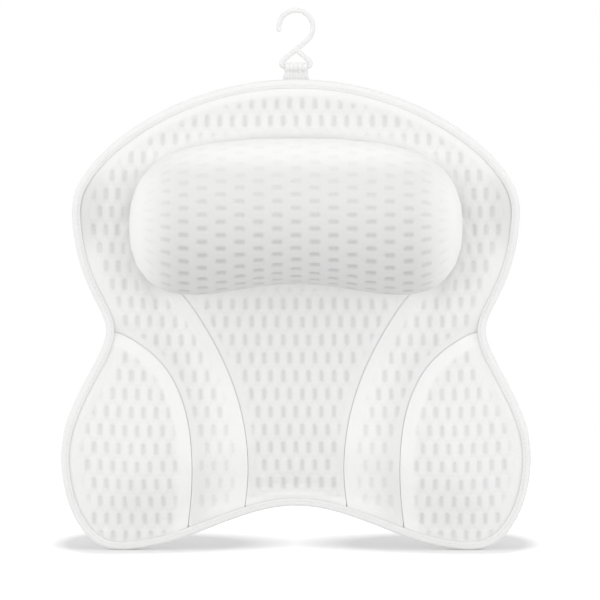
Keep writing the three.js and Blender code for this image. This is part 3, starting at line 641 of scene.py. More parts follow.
class Nodes:
    """Adds nodes to a tree. An input is a socket to link or a value to set."""

    def __init__(self, tree):
        self.tree = tree

    def give(self, node, inputs):
        for key, value in inputs.items():
            if isinstance(value, bpy.types.NodeSocket):
                self.tree.links.new(value, node.inputs[key])
            else:
                node.inputs[key].default_value = value

    def add(self, kind, inputs=None, **options):
        node = self.tree.nodes.new(kind)
        for name, value in options.items():
            setattr(node, name, value)
        self.give(node, inputs or {})
        return node

    def named(self, name, kind="FLOAT"):
        """An attribute of the geometry."""
        return self.add("GeometryNodeInputNamedAttribute", {"Name": name}, data_type=kind).outputs[0]

    def math(self, operation, *values):
        return self.add("ShaderNodeMath", dict(enumerate(values)), operation=operation).outputs[0]

    def plus(self, first, second):
        return self.math("ADD", first, second)

    def minus(self, first, second):
        return self.math("SUBTRACT", first, second)

    def times(self, first, second):
        return self.math("MULTIPLY", first, second)

    def over(self, first, second):
        return self.math("DIVIDE", first, second)

    def length(self, across, along):
        return self.math("SQRT", self.plus(self.math("POWER", across, 2.0), self.math("POWER", along, 2.0)))

    def from_middle(self, cells, pitch):
        """Distance from the middle of the cell that a place lies in."""
        return self.times(self.math("ABSOLUTE", self.minus(self.math("FRACT", cells), 0.5)), pitch)

    def ramp(self, value, low, high):
        """0 at low and 1 at high, with soft ends."""
        inputs = {"Value": value, "From Min": low, "From Max": high}
        return self.add("ShaderNodeMapRange", inputs, interpolation_type="SMOOTHSTEP").outputs[0]

    def scaled(self, value, low, high, start=0.0, end=1.0):
        """Low where the value is at its start, and high at its end."""
        inputs = {"Value": value, "From Min": start, "From Max": end, "To Min": low, "To Max": high}
        return self.add("ShaderNodeMapRange", inputs).outputs[0]

    def mix(self, factor, first, second):
        inputs = {0: factor, 6: first, 7: second}
        return self.add("ShaderNodeMix", inputs, data_type="RGBA").outputs[2]


SLOT_INPUTS = (
    "Slot Pitch", "Row Pitch", "Slot Width", "Slot Length", "Slot Depth", "Slot Shoulder",
    "Crease Width", "Crease Depth", "Slot Tone", "Crease Tone",
)
STITCH_INPUTS = ("Stitch Length", "Stitch Gap", "Thread")


def setting_name(label):
    return label.lower().replace(" ", "_")


def geometry_tree(name, labels):
    """A Geometry Nodes tree with a geometry, named sizes and a material as inputs."""
    tree = bpy.data.node_groups.new(name, "GeometryNodeTree")
    tree.interface.new_socket("Geometry", in_out="INPUT", socket_type="NodeSocketGeometry")
    for label in labels:
        tree.interface.new_socket(label, in_out="INPUT", socket_type="NodeSocketFloat")
    tree.interface.new_socket("Material", in_out="INPUT", socket_type="NodeSocketMaterial")
    tree.interface.new_socket("Geometry", in_out="OUTPUT", socket_type="NodeSocketGeometry")
    nodes = Nodes(tree)
    return nodes, nodes.add("NodeGroupInput").outputs


def close_tree(nodes, geometry, material):
    whole = nodes.add("GeometryNodeRealizeInstances", {0: geometry}).outputs[0]
    dressed = nodes.add("GeometryNodeSetMaterial", {"Geometry": whole, "Material": material}).outputs[0]
    nodes.add("NodeGroupOutput", {0: dressed})
    return nodes.tree


def run_tree(obj, tree, labels, group, material, **changes):
    """Runs a Geometry Nodes tree on the object and keeps the result as its mesh.

    The labelled inputs have the values of the settings with their names, apart from the changes.
    """
    inputs = {setting_name(label): getattr(group, setting_name(label)) for label in labels}
    inputs.update(changes, material=material)
    modifier = obj.modifiers.new(tree.name, "NODES")
    modifier.node_group = tree
    for item in tree.interface.items_tree:
        if item.in_out == "INPUT" and setting_name(item.name) in inputs:
            modifier[item.identifier] = inputs[setting_name(item.name)]
    return frozen(obj)


@lru_cache
def slot_tree():
    """Staggered round-ended slots, pressed into a padded surface along its weave attribute, with the slots'
    darkness and the painted shade kept as an attribute.
    """
    # Shares of half a slot's width at which its bottom begins and its darker tone, partly painted shade, ends
    bottom, rim = -0.95, 0.7
    nodes, given = geometry_tree("pressed_slots", SLOT_INPUTS)
    calm = nodes.named("calm")
    place = nodes.add("ShaderNodeSeparateXYZ", {0: nodes.named("weave", "FLOAT_VECTOR")}).outputs
    # Every second row is shifted by half a pitch
    rows = nodes.plus(nodes.over(place[1], given["Row Pitch"]), 0.5)
    shift = nodes.times(nodes.math("FLOORED_MODULO", nodes.math("FLOOR", rows), 2.0), 0.5)
    slots = nodes.plus(nodes.plus(nodes.over(place[0], given["Slot Pitch"]), shift), 0.5)
    across = nodes.from_middle(slots, given["Slot Pitch"])
    along = nodes.from_middle(rows, given["Row Pitch"])
    # A slot is a straight line with a round edge about it
    half = nodes.times(given["Slot Width"], 0.5)
    straight = nodes.times(nodes.minus(given["Slot Length"], given["Slot Width"]), 0.5)
    beyond = nodes.math("MAXIMUM", nodes.minus(along, straight), 0.0)
    outside = nodes.minus(nodes.length(across, beyond), half)
    press = nodes.ramp(outside, given["Slot Shoulder"], nodes.times(half, bottom))
    dark = nodes.ramp(outside, nodes.times(half, rim), nodes.times(half, -rim))
    # A crease runs slantwise from the end of a slot to the slots of the next row
    past = nodes.minus(along, nodes.times(given["Slot Length"], 0.5))
    aslant = nodes.times(given["Slot Pitch"], 0.25)
    rise = nodes.times(nodes.minus(given["Row Pitch"], given["Slot Length"]), 0.5)
    ahead = nodes.plus(nodes.times(across, aslant), nodes.times(past, rise))
    ahead = nodes.over(ahead, nodes.math("POWER", nodes.length(aslant, rise), 2.0))
    ahead = nodes.math("MINIMUM", nodes.math("MAXIMUM", ahead, 0.0), 2.0)
    aside = nodes.length(nodes.minus(across, nodes.times(ahead, aslant)),
                         nodes.minus(past, nodes.times(ahead, rise)))
    crease = nodes.ramp(aside, given["Crease Width"], 0.0)
    # The darkness of the slots, partly inner pile and partly painted shade, and of the creases, which is
    # painted shade, is added to the painted shade kept on the mesh and stored as an attribute; the surface is
    # moved inwards
    dark = nodes.math(
        "MAXIMUM", nodes.times(dark, given["Slot Tone"]), nodes.times(crease, given["Crease Tone"]))
    dark = nodes.plus(nodes.times(dark, calm), nodes.named("ground"))
    depth = nodes.math(
        "MAXIMUM", nodes.times(press, given["Slot Depth"]), nodes.times(crease, given["Crease Depth"]))
    depth = nodes.times(nodes.times(depth, calm), -1.0)
    normal = nodes.add("GeometryNodeInputNormal").outputs[0]
    move = nodes.add("ShaderNodeVectorMath", {0: normal, "Scale": depth}, operation="SCALE").outputs[0]
    marked = nodes.add(
        "GeometryNodeStoreNamedAttribute", {"Geometry": given["Geometry"], "Name": "pit_and_shade", "Value": dark},
        data_type="FLOAT", domain="POINT").outputs[0]
    pressed = nodes.add("GeometryNodeSetPosition", {"Geometry": marked, "Offset": move}).outputs[0]
    return close_tree(nodes, pressed, given["Material"])


@lru_cache
def stitch_tree():
    """Stitches of thread laid end to end along a path."""
    nodes, given = geometry_tree("topstitch", STITCH_INPUTS)
    path = nodes.add("GeometryNodeMeshToCurve", {0: given["Geometry"]}).outputs[0]
    pitch = nodes.plus(given["Stitch Length"], given["Stitch Gap"])
    places = nodes.add(
        "GeometryNodeResampleCurve", {"Curve": path, "Length": pitch}, mode="LENGTH").outputs[0]
    tangent = nodes.add("GeometryNodeInputTangent").outputs[0]
    turn = nodes.add("FunctionNodeAlignRotationToVector", {"Vector": tangent}, axis="X").outputs[0]
    bead = nodes.add("GeometryNodeMeshUVSphere", {"Segments": 6, "Rings": 5, "Radius": 0.5}).outputs[0]
    thread, stitch = given["Thread"], given["Stitch Length"]
    shape = nodes.add("ShaderNodeCombineXYZ", {0: thread, 1: thread, 2: stitch}).outputs[0]
    lying = nodes.add("GeometryNodeTransform", {"Geometry": bead, "Scale": shape}).outputs[0]
    lying = nodes.add(
        "GeometryNodeTransform", {"Geometry": lying, "Rotation": (0.0, math.pi / 2, 0.0)}).outputs[0]
    stitches = {"Points": places, "Instance": lying, "Rotation": turn}
    laid = nodes.add("GeometryNodeInstanceOnPoints", stitches).outputs[0]
    return close_tree(nodes, laid, given["Material"])


# Materials

class Finish(Nodes):
    """A new material and its nodes."""

    def __init__(self, name):
        self.material = bpy.data.materials.new(name)
        self.material.use_nodes = True
        super().__init__(self.material.node_tree)

    def place(self):
        return self.add("ShaderNodeTexCoord").outputs["Object"]

    def kept(self, name):
        """The node of an attribute that the mesh keeps."""
        return self.add("ShaderNodeAttribute", attribute_name=name).outputs

    def noise(self, place, scale, detail):
        inputs = {"Vector": place, "Scale": scale, "Detail": detail}
        return self.add("ShaderNodeTexNoise", inputs).outputs[0]

    def bump(self, height, strength, distance):
        inputs = {"Height": height, "Strength": strength, "Distance": distance}
        return self.add("ShaderNodeBump", inputs).outputs[0]

    def done(self, inputs):
        """The material, with these inputs of its shader."""
        self.give(self.tree.nodes["Principled BSDF"], inputs)
        return self.material


def shaded(values, factor=1.0):
    return (*[factor * v for v in values], 1.0)


@lru_cache
def mesh_cloth():
    """White knitted spacer mesh: fine loops, a faint mottle, and darker slot bottoms and painted shade that
    the pit attribute gives.
    """
    mesh, finish = settings().mesh, Finish("knitted_mesh")
    place = finish.place()
    loops = finish.add("ShaderNodeTexVoronoi", {"Vector": place, "Scale": 950.0}).outputs["Distance"]
    mottle = finish.noise(place, scale=55.0, detail=4.0)
    knit = finish.mix(finish.ramp(loops, low=0.15, high=0.75), shaded(mesh.cloth), shaded(mesh.cloth, 0.96))
    worn = finish.mix(finish.ramp(mottle, low=0.3, high=0.75), knit, shaded(mesh.cloth, 0.98))
    return finish.done({
        # Darker where the attribute holds slot bottoms and painted shade
        "Base Color": finish.mix(finish.kept("pit_and_shade")["Fac"], worn, shaded(mesh.pit_and_shade)),
        "Roughness": finish.scaled(mottle, low=0.82, high=0.96),
        "Specular IOR Level": 0.1,
        "Sheen Weight": 0.12,
        "Sheen Roughness": 0.5,
        "Normal": finish.bump(loops, strength=0.35, distance=0.0004),
    })


@lru_cache
def woven_tape():
    """White tape with a fine twill along its own weave attribute."""
    tape, finish = settings().tape, Finish("woven_tape")
    weave = finish.kept("weave")["Vector"]
    slant = (0.0, 0.0, math.radians(32))
    slanted = finish.add("ShaderNodeMapping", {"Vector": weave, "Rotation": slant}).outputs[0]
    twill = finish.add(
        "ShaderNodeTexWave", {"Vector": slanted, "Scale": 330.0, "Distortion": 0.6, "Detail": 1.0})
    twill = twill.outputs["Fac"]
    mottle = finish.noise(weave, scale=120.0, detail=3.0)
    ridges = finish.mix(twill, shaded(tape.tape, 0.93), shaded(tape.tape))
    return finish.done({
        "Base Color": finish.mix(
            finish.ramp(mottle, low=0.35, high=0.75), ridges, shaded(tape.tape, 0.96)),
        "Roughness": finish.scaled(mottle, low=0.72, high=0.9),
        "Specular IOR Level": 0.3,
        "Sheen Weight": 0.1,
        "Normal": finish.bump(twill, strength=0.3, distance=0.0003),
    })


@lru_cache
def sewing_thread():
    """Twisted white thread."""
    white, finish = settings().tape.thread_colour, Finish("sewing_thread")
    inputs = {"Vector": finish.place(), "Scale": 700.0, "Distortion": 2.0}
    twist = finish.add("ShaderNodeTexWave", inputs, bands_direction="DIAGONAL").outputs["Fac"]
    return finish.done({
        "Base Color": finish.mix(twist, shaded(white, 0.9), shaded(white)),
        "Roughness": 0.6,
        "Normal": finish.bump(twist, strength=0.3, distance=0.0002),
    })


@lru_cache
def milky_plastic():
    """White moulded plastic that lets some light through, with a faint grain from the mould."""
    white, finish = settings().fittings.plastic, Finish("milky_plastic")
    place = finish.place()
    cloud = finish.noise(place, scale=160.0, detail=3.0)
    grain = finish.noise(place, scale=2600.0, detail=2.0)
    return finish.done({
        "Base Color": finish.mix(cloud, shaded(white, 0.97), shaded(white)),
        "Roughness": finish.scaled(cloud, low=0.34, high=0.46),
        "Transmission Weight": 0.05,
        "IOR": 1.46,
        "Normal": finish.bump(grain, strength=0.02, distance=0.0001),
    })


@lru_cache
def clear_vinyl():
    """Clear soft vinyl with a faint tint and a slightly hazy skin."""
    tint, finish = settings().fittings.vinyl, Finish("soft_vinyl")
    haze = finish.noise(finish.place(), scale=90.0, detail=4.0)
    return finish.done({
        "Base Color": finish.mix(haze, shaded(tint, 0.95), shaded(tint)),
        "Roughness": finish.scaled(haze, low=0.05, high=0.16),
        "Transmission Weight": 0.93,
        "IOR": 1.5,
        "Normal": finish.bump(haze, strength=0.05, distance=0.0006),
    })


# Padded panels

def closed_panel(name, shown, triangles, hidden, hidden_triangles, rim):
    """A closed body from its shown side and its hidden side, which share the points of their rim.

    A corner that both sides cut off as the same triangle has no thickness and is left out.
    """
    sides = (triangles.tolist(), hidden_triangles.tolist())
    cut_off = set.intersection(*({frozenset(t) for t in side if max(t) < rim} for side in sides))
    front, back = ([t for t in side if frozenset(t) not in cut_off or max(t) >= rim] for side in sides)
    faces = front + [[len(shown) + i for i in reversed(t)] for t in back]
    return welded(object_from(name, np.vstack([shown, hidden]), faces))


def press_slots(obj, weave, calm, ground, **changes):
    """Presses slots into the cloth, by where they lie, how strong they are and the painted shade about them.
    """
    mesh = settings().mesh
    store(obj.data, "weave", np.column_stack([*weave, np.zeros(len(calm))]))
    store(obj.data, "calm", calm)
    store(obj.data, "ground", ground)
    return smooth_shaded(run_tree(obj, slot_tree(), SLOT_INPUTS, mesh, mesh_cloth(), **changes))


def swollen(obj, held):
    """Points of the object after cloth pressure has swelled it; the held ones stay."""
    padding = settings().padding
    scene = bpy.context.scene
    start = coordinates(obj.data)
    group = obj.vertex_groups.new(name="held")
    group.add([int(i) for i in held], 1.0, "REPLACE")
    modifier = obj.modifiers.new("pressure", "CLOTH")
    cloth = modifier.settings
    cloth.vertex_group_mass = group.name
    cloth.use_pressure = True
    cloth.uniform_pressure_force = padding.pressure
    cloth.effector_weights.gravity = 0.0
    modifier.collision_settings.use_collision = False
    modifier.point_cache.frame_start, modifier.point_cache.frame_end = 1, padding.frames
    for number in range(1, padding.frames + 1):
        scene.frame_set(number)
    end = coordinates(obj.evaluated_get(bpy.context.evaluated_depsgraph_get()).data)
    obj.modifiers.clear()
    obj.vertex_groups.clear()
    scene.frame_set(1)
    move = end - start
    far = np.linalg.norm(move, axis=1)[:, None]
    return start + move * np.minimum(1, padding.swell / np.maximum(far, WELD))


@lru_cache
def bound_edge(step=0.0005):
    """Distances to the edge that the tape binds."""
    return Near(smooth_outline(outlines("back_panel")[0][0], step))


class PaddedPanel:
    """A panel's outline in plan, and the depths between which its padding lies."""

    def __init__(self, node):
        self.loops, self.front = outlines(node)
        self.foot = self.loops[0][:, 1].min()
        self.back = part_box(node)[1].y
        self.crown = self.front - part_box(node)[0].y

    def loop(self, step, seam_gap=0.0003, touching=0.0008):
        """The outline, grown on its seams until the panels meet."""
        outline = smooth_outline(self.loops[0], step)
        on_seam = bound_edge()(outline) > touching
        return outline - (on_seam * seam_gap / 2)[:, None] * inward(outline)

    def seam(self, *neighbours, step=0.0005, touching=0.0008):
        """Distances to the panel's seam with each neighbour."""
        own = smooth_outline(self.loops[0], step)
        own = own[bound_edge()(own) > touching]
        others = [smooth_outline(PaddedPanel(node).loops[0], step) for node in neighbours]
        nearest = np.array([Near(other)(own) for other in others]).argmin(0)
        return [Near(own[nearest == i]) for i in range(len(neighbours))]


def edge_rise(points, reach):
    """Share of the padding's height, by the distance from the bound edge. The foot has a longer slope."""
    padding = settings().padding
    at_foot = 1 - fade(points[:, 1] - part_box("back_panel")[0].z, "foot")
    reach = between(reach, max(padding.foot_edge, reach), at_foot)
    return smoothstep(bound_edge()(points), padding.flat_edge, padding.flat_edge + reach)


def wing_level(points):
    """Height of the seam between a wing and its strip."""
    padding = settings().padding
    return padding.wing_level * edge_rise(points, padding.surround_edge)


def strip_level(points):
    """Height of the seam between a strip and the centre, which rises to the seat of the head cushion."""
    padding = settings().padding
    seated = fade(points[:, 1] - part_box("head_cover")[0].z, "seat")
    level = between(padding.strip_level, PaddedPanel("centre_cover").crown, seated)
    return level * edge_rise(points, padding.surround_edge)


@lru_cache
def head_surface():
    body = merged_copy("head_cover")
    tree = BVHTree.FromBMesh(body)
    body.free()
    return tree


def beside_head(places):
    """0 where the head cushion touches a place on a panel, and 1 clear of it."""
    return fade([head_surface().find_nearest(p)[3] for p in places], "beside_head")


def beside_ends(points):
    """1 beside the two ends of the head cushion, and 0 far from them."""
    low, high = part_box("head_cover")
    level = fade(points[:, 1] - low.z, "ends_foot") * fade(high.z - points[:, 1], "ends_top")
    return level * fade(np.abs(points[:, 0]) - high.x, "ends_side")


def plump_panel(name, panel, height_at, calm_at, ground_at):
    """A padded panel of mesh cloth: swelled by cloth pressure and pressed with slots."""
    padding = settings().padding

    def raised(points):
        return in_space(points, panel.front - padding.start * height_at(points))

    outline = panel.loop(padding.fine_step)
    points, triangles, rim = filled([outline], padding.fine_step)
    shown = raised(points)
    clear = smoothstep(Near(outline)(points), 0, padding.seam_round + padding.settle_margin)
    shown[:, 1] = settled(shown[:, 1], triangles, clear)
    shown += clear[:, None] * swelling(panel, raised)(points)
    shown[:rim] = raised(outline)
    hidden, hidden_triangles, _ = filled([outline], padding.under_steps * padding.fine_step)
    hidden = in_space(hidden, panel.back)
    hidden[:rim] = shown[:rim]
    obj = closed_panel(name, shown, triangles, hidden, hidden_triangles, rim)
    place = coordinates(obj.data)
    flat = place[:, [0, 2]]
    front = place[:, 1] < panel.back - WELD
    calm = np.where(front, calm_at(flat) * beside_head(place), 0)
    # The painted shade on the panel's front
    ground = np.where(front, ground_at(flat), 0)
    press_slots(obj, (flat[:, 0], flat[:, 1] - settings().mesh.row_height), calm, ground)
    obj.data.set_sharp_from_angle(angle=padding.seam_angle)
    return obj


def settled(depths, triangles, free, pace=0.5):
    """Depths evened out between neighbours, as far as each point is free to move."""
    sides = np.vstack([triangles[:, [0, 1]], triangles[:, [1, 2]], triangles[:, [2, 0]]])
    here, there = np.vstack([sides, sides[:, ::-1]]).T
    neighbours = np.bincount(here, minlength=len(depths))
    for _ in range(settings().padding.settle):
        around = np.bincount(here, depths[there], len(depths)) / neighbours
        depths = depths + pace * free * (around - depths)
    return depths


def swelling(panel, raised):
    """How far cloth pressure moves a panel's front, as a function of places in plan."""
    step = settings().padding.cloth_step
    points, triangles, rim = filled([panel.loop(step)], step)
    start = raised(points)
    under = np.arange(len(points)) + len(points) - rim
    under[:rim] = np.arange(rim)
    faces = [tuple(t) for t in triangles] + [tuple(under[i] for i in reversed(t)) for t in triangles]
    both = np.vstack([start, in_space(points[rim:], panel.back)])
    obj = object_from("swelling_panel", both, faces)
    held = np.concatenate([np.arange(rim), np.arange(len(points), len(both))])
    moved = [Vector(m) for m in swollen(obj, held)[:len(points)] - start]
    bpy.data.objects.remove(obj)
    flat = [Vector((x, z, 0)) for x, z in points]
    tree = BVHTree.FromPolygons(flat, triangles.tolist())

    def at(places):
        offsets = []
        for x, z in places:
            hit, _, face, _ = tree.find_nearest((x, z, 0))
            a, b, c = triangles[face]
            offsets.append(barycentric_transform(
                hit, flat[a], flat[b], flat[c], moved[a], moved[b], moved[c]))
        return np.array(offsets)

    return at


def make_wing(side):
    padding, mesh = settings().padding, settings().mesh
    panel = PaddedPanel(f"wing_cover_{side}")
    seam, = panel.seam("arch_cover")

    def height(points):
        away, level = seam(points), wing_level(points)
        lean = between(padding.wing_rim, 1, smoothstep(away, 0, padding.wing_lean))
        full = panel.crown * lean * edge_rise(points, padding.wing_edge)
        return rising(level, np.maximum(full, level), away, padding.seam_round)

    def calm(points):
        closer = mesh.wing_foot * (1 - fade(points[:, 1] - panel.foot, "wing_foot"))
        return fade(bound_edge()(points) + closer, "wing_edge") * fade(seam(points), "wing_seam")

    # Painted shade, darker away from the seam, which leaves a lighter band beside it
    def ground(points):
        return mesh.ground_tone * fade(seam(points), "wing_seam")

    obj = plump_panel(f"wing_pad_{side}", panel, height, calm, ground)
    return finish_piece(obj, [f"wing_cover_{side}", f"wing_filling_{side}"])


def make_surround():
    padding, mesh = settings().padding, settings().mesh
    panel = PaddedPanel("arch_cover")
    left, right, centre = panel.seam("wing_cover_left", "wing_cover_right", "centre_cover")
    head_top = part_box("head_cover")[1].z

    def wings(points):
        return np.minimum(left(points), right(points))

    def height(points):
        away, beside, level = centre(points), beside_ends(points), strip_level(points)
        rim = between(padding.strip_rim, padding.valley_rim, beside)
        reach = between(padding.strip_lean, padding.valley_lean, beside)
        crown = panel.crown * between(1, padding.valley_crown, beside)
        lean = between(rim, 1, smoothstep(away / reach, 0, 1))
        full = crown * lean * edge_rise(points, padding.surround_edge)
        outer = rising(wing_level(points), full, wings(points), padding.strip_outer, slow_rise)
        return rising(level, np.maximum(outer, level), away, padding.seam_round)

    def calm(points):
        sides = fade(wings(points), "strip_outer") * fade(centre(points), "strip_inner")
        strength = between(mesh.strip_foot, 1, fade(points[:, 1] - panel.foot, "strip_foot"))
        return strength * sides * fade(bound_edge()(points), "surround_edge")

    # Painted shade: away from the centre's seam, on the strips beside the wings, in the valleys beside the
    # head's ends and on the slope above the head
    def ground(points):
        inner = mesh.ground_tone * fade(centre(points), "inner_shade")
        outer = mesh.strip_ground * (1 - fade(wings(points), "outer_shade"))
        valley = mesh.valley_shade * beside_ends(points) * (1 - fade(centre(points), "valley_shade"))
        above = mesh.top_shade * fade(points[:, 1] - head_top, "top_shade")
        above = above * fade(bound_edge()(points), "top_edge")
        return np.maximum(inner, outer) + np.maximum(valley, above)

    obj = plump_panel("surround_pad", panel, height, calm, ground)
    return finish_piece(obj, ["arch_cover", "arch_filling"])


def make_centre():
    padding, mesh = settings().padding, settings().mesh
    panel = PaddedPanel("centre_cover")
    seam, = panel.seam("arch_cover")
    head_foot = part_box("head_cover")[0].z

    def height(points):
        up = smoothstep(points[:, 1], panel.foot, head_foot)
        crown = between(padding.centre_foot, panel.crown, up)
        full = crown * edge_rise(points, padding.surround_edge)
        return rising(strip_level(points), full, seam(points), padding.centre_seam, slow_rise)

    def calm(points):
        return fade(bound_edge()(points), "centre_edge") * fade(seam(points), "centre_seam")

    # Painted shade over the centre panel inside its bound edge
    def ground(points):
        return mesh.centre_ground * fade(bound_edge()(points), "centre_edge")

    obj = plump_panel("centre_pad", panel, height, calm, ground)
    return finish_piece(obj, ["centre_cover", "centre_filling"])


# Head cushion

def arc_length(angles, across, deep, steps=400):
    """Length along an ellipse from its crown to the given angles."""
    at = np.linspace(0, math.pi, steps)
    pace = np.hypot(across * np.cos(at), deep * np.sin(at))
    along = np.concatenate([[0], np.cumsum((pace[1:] + pace[:-1]) / 2 * np.diff(at))])
    return np.sign(angles) * np.interp(np.abs(angles), at, along)


def make_head(finer_levels=2):
    padding, mesh = settings().padding, settings().mesh
    low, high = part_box("head_cover")
    nodes = ["head_cover", "head_filling"]
    obj = moulded("head_cushion", nodes, padding.head_voxel, padding.head_rounds)
    place = coordinates(obj.data)
    held = np.flatnonzero(place[:, 1] > high.y - padding.head_seat)
    set_coordinates(obj.data, swollen(obj, held))
    finer = obj.modifiers.new("finer", "SUBSURF")
    finer.levels = finer.render_levels = finer_levels
    x, y, z = coordinates(frozen(obj).data).T
    middle, widest = (low.z + high.z) / 2, high.y - padding.head_widest
    deep, tall = widest - low.y, (high.z - low.z) / 2
    around = arc_length(np.arctan2((z - middle) / tall, (widest - y) / deep), tall, deep)
    end = high.x - tall
    turn = np.arcsin(np.clip((np.abs(x) - end) / tall, 0, 1))
    along = np.sign(x) * (np.minimum(np.abs(x), end) + arc_length(turn, tall, deep))
    shown = fade(high.x - np.abs(x), "head_ends") * fade(high.y - y, "head_front")
    below = high.z - z
    calm = shown * between(mesh.head_top_slots, 1, fade(below, "head_slots"))
    # Painted shade: slight at the top, coming in below the brow and growing towards the foot, with none at
    # the ends and the back
    tone = mesh.head_brow * fade(below, "head_brow") + mesh.head_base * fade(below, "head_base")
    ground = mesh.head_ground * shown * (mesh.head_top + tone)
    press_slots(obj, (around - mesh.head_phase, along), calm, ground,
                slot_pitch=mesh.head_pitch, row_pitch=mesh.head_column, slot_width=mesh.head_slot_width,
                slot_length=mesh.head_slot_length, slot_depth=mesh.head_slot_depth,
                crease_depth=mesh.head_crease, slot_tone=mesh.head_tone, crease_tone=0.0)
    return finish_piece(obj, nodes)


# Back panel, tape and stitches

def make_back():
    padding, mesh = settings().padding, settings().mesh
    low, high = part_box("back_panel")
    loops = [smooth_outline(loop, padding.back_step) for loop in outlines("back_panel")[0]]
    points, triangles, rim = filled(loops, padding.back_step)
    face = in_space(points, high.y)
    hidden, hidden_triangles, _ = filled(loops, padding.inside_steps * padding.back_step)
    hidden = in_space(hidden, low.y)
    hidden[:rim] = face[:rim]
    obj = closed_panel("back_cloth", face, triangles[:, ::-1], hidden, hidden_triangles[:, ::-1], rim)
    place = coordinates(obj.data)
    flat = place[:, [0, 2]]
    calm = fade(Near(loops[0])(flat), "back_edge")
    for hole in loops[1:]:
        calm *= fade(np.linalg.norm(flat - hole.mean(0), axis=1), "back_hole")
    shown = place[:, 1] > high.y - WELD
    weave = (flat[:, 0], flat[:, 1] - mesh.row_height)
    # Painted shade over the back's shown face, as on the front panels
    ground = np.where(shown, mesh.ground_tone, 0)
    press_slots(obj, weave, np.where(shown, calm, 0), ground, slot_depth=mesh.back_depth)
    return finish_piece(obj, ["back_panel"])


def tape_path(step):
    """The outer edge of the folded tape in plan."""
    edge = smooth_outline(outlines("back_panel")[0][0], step)
    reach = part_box("edge_binding")[1].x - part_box("back_panel")[1].x
    return edge - reach * inward(edge)


def make_tape(path_step=0.003, outer_step=0.0006, inner_step=0.0008, bend_share=0.4):
    tape = settings().tape
    low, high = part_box("edge_binding")
    wide, wall = tape.tape_width, tape.tape_wall
    # Half of the fold, as distances from its edge and from its face
    bend = bend_share * (high.y - low.y) - wall / 2
    shoulder, flank = (0.55 * bend, 0.06 * bend), (0.12 * bend, 0.45 * bend)
    fold = [(wide, 0), (wide / 2, 0), shoulder, flank]
    outer = [(r, high.y - d) for r, d in fold]
    outer += [(0, (low.y + high.y) / 2)]
    outer += [(r, low.y + d) for r, d in reversed(fold)]
    inner = [(max(r, wall), min(max(y, low.y + wall), high.y - wall)) for r, y in outer]
    section = np.vstack([curve_through(outer, outer_step), [outer[-1]],
                         curve_through(inner[::-1], inner_step), [inner[0]]])
    path = tape_path(path_step)
    rings, corners = len(path), len(section)
    points = np.empty((rings, corners, 3))
    points[:, :, [0, 2]] = path[:, None] + inward(path)[:, None] * section[None, :, :1]
    points[:, :, 1] = section[:, 1]
    obj = object_from("binding_tape", points.reshape(-1, 3), grid_faces(rings, corners, True, True))
    store_weave(welded(obj), length_along(path), length_along(section))
    painted(obj, woven_tape())
    return finish_piece(obj, ["edge_binding"])


def sewn(name, points, edges):
    """Stitches along the edges between points."""
    obj = object_from(name, points, edges=edges)
    run_tree(obj, stitch_tree(), STITCH_INPUTS, settings().tape, sewing_thread())
    return finish_piece(smooth_shaded(obj))


def make_stitches(path_step=0.001):
    """A row of stitches on each face of the tape."""
    tape = settings().tape
    low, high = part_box("edge_binding")
    path = tape_path(path_step)
    line = path + (tape.tape_width - tape.stitch_inset) * inward(path)
    lift, corners = tape.thread_lift * tape.thread, len(line)
    points = np.vstack([in_space(line, low.y - lift), in_space(line, high.y + lift)])
    edges = [(first + i, first + (i + 1) % corners) for first in (0, corners) for i in range(corners)]
    return sewn("binding_stitches", points, edges)


# Hook, webbing and suction cups

def joint_place(name):
    return Vector(next(j["pos_m"] for j in frame["joints"] if j["name"] == name))


def make_webbing(loop_points=40, tail_points=34, columns=121):
    """Ribbed webbing that runs up the front, round the hook's bar and down the back."""
    tape = settings().tape
    low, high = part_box("hook_loop")
    bar = joint_place("hook_swing")
    radius, wall = (high.y - low.y) / 2, tape.webbing_wall
    meet = math.asin(wall / radius)
    turn = np.linspace(-math.pi / 2 + meet, 1.5 * math.pi - meet, loop_points)
    loop = np.column_stack([bar.y - radius * np.cos(turn), bar.z + radius * np.sin(turn)])
    tail = np.linspace(low.z, loop[0, 1], tail_points)[:-1]
    front = np.column_stack([np.full(len(tail), bar.y - wall), tail])
    back = np.column_stack([np.full(len(tail), bar.y + wall), tail[::-1]])
    line = np.vstack([front, loop, back])
    along = length_along(line)
    tangent = np.gradient(line, along, axis=0)
    tangent /= np.linalg.norm(tangent, axis=1)[:, None]
    across = np.linspace(-1, 1, columns)
    half = (high.x - low.x) / 2
    spread = fade(bar.z - line[:, 1], "webbing")
    width = between(half, tape.webbing_tail / 2, spread)
    ribs = np.abs(np.sin(np.pi * across * half / tape.rib_pitch)) * tape.rib_height
    folds = np.cos(tape.gather_folds * np.pi * across)
    gather = tape.gather_depth * (1 - spread)[:, None] * folds[None, :]
    lift = ribs[None, :] + gather - tape.rib_height
    points = np.empty((len(line), columns, 3))
    points[:, :, 0] = width[:, None] * across[None, :]
    points[:, :, 1] = line[:, None, 0] - tangent[:, None, 1] * lift
    points[:, :, 2] = line[:, None, 1] + tangent[:, None, 0] * lift
    faces = grid_faces(len(line), columns, False, False)
    obj = object_from("webbing_loop", points.reshape(-1, 3), faces)
    store_weave(obj, along, half * across)
    thick = obj.modifiers.new("thick", "SOLIDIFY")
    thick.thickness, thick.offset = tape.webbing_body * wall, -1.0
    if obj.data.polygons[0].normal.y > 0:
        obj.data.flip_normals()
    painted(frozen(obj), woven_tape())
    return finish_piece(obj, ["hook_loop"])


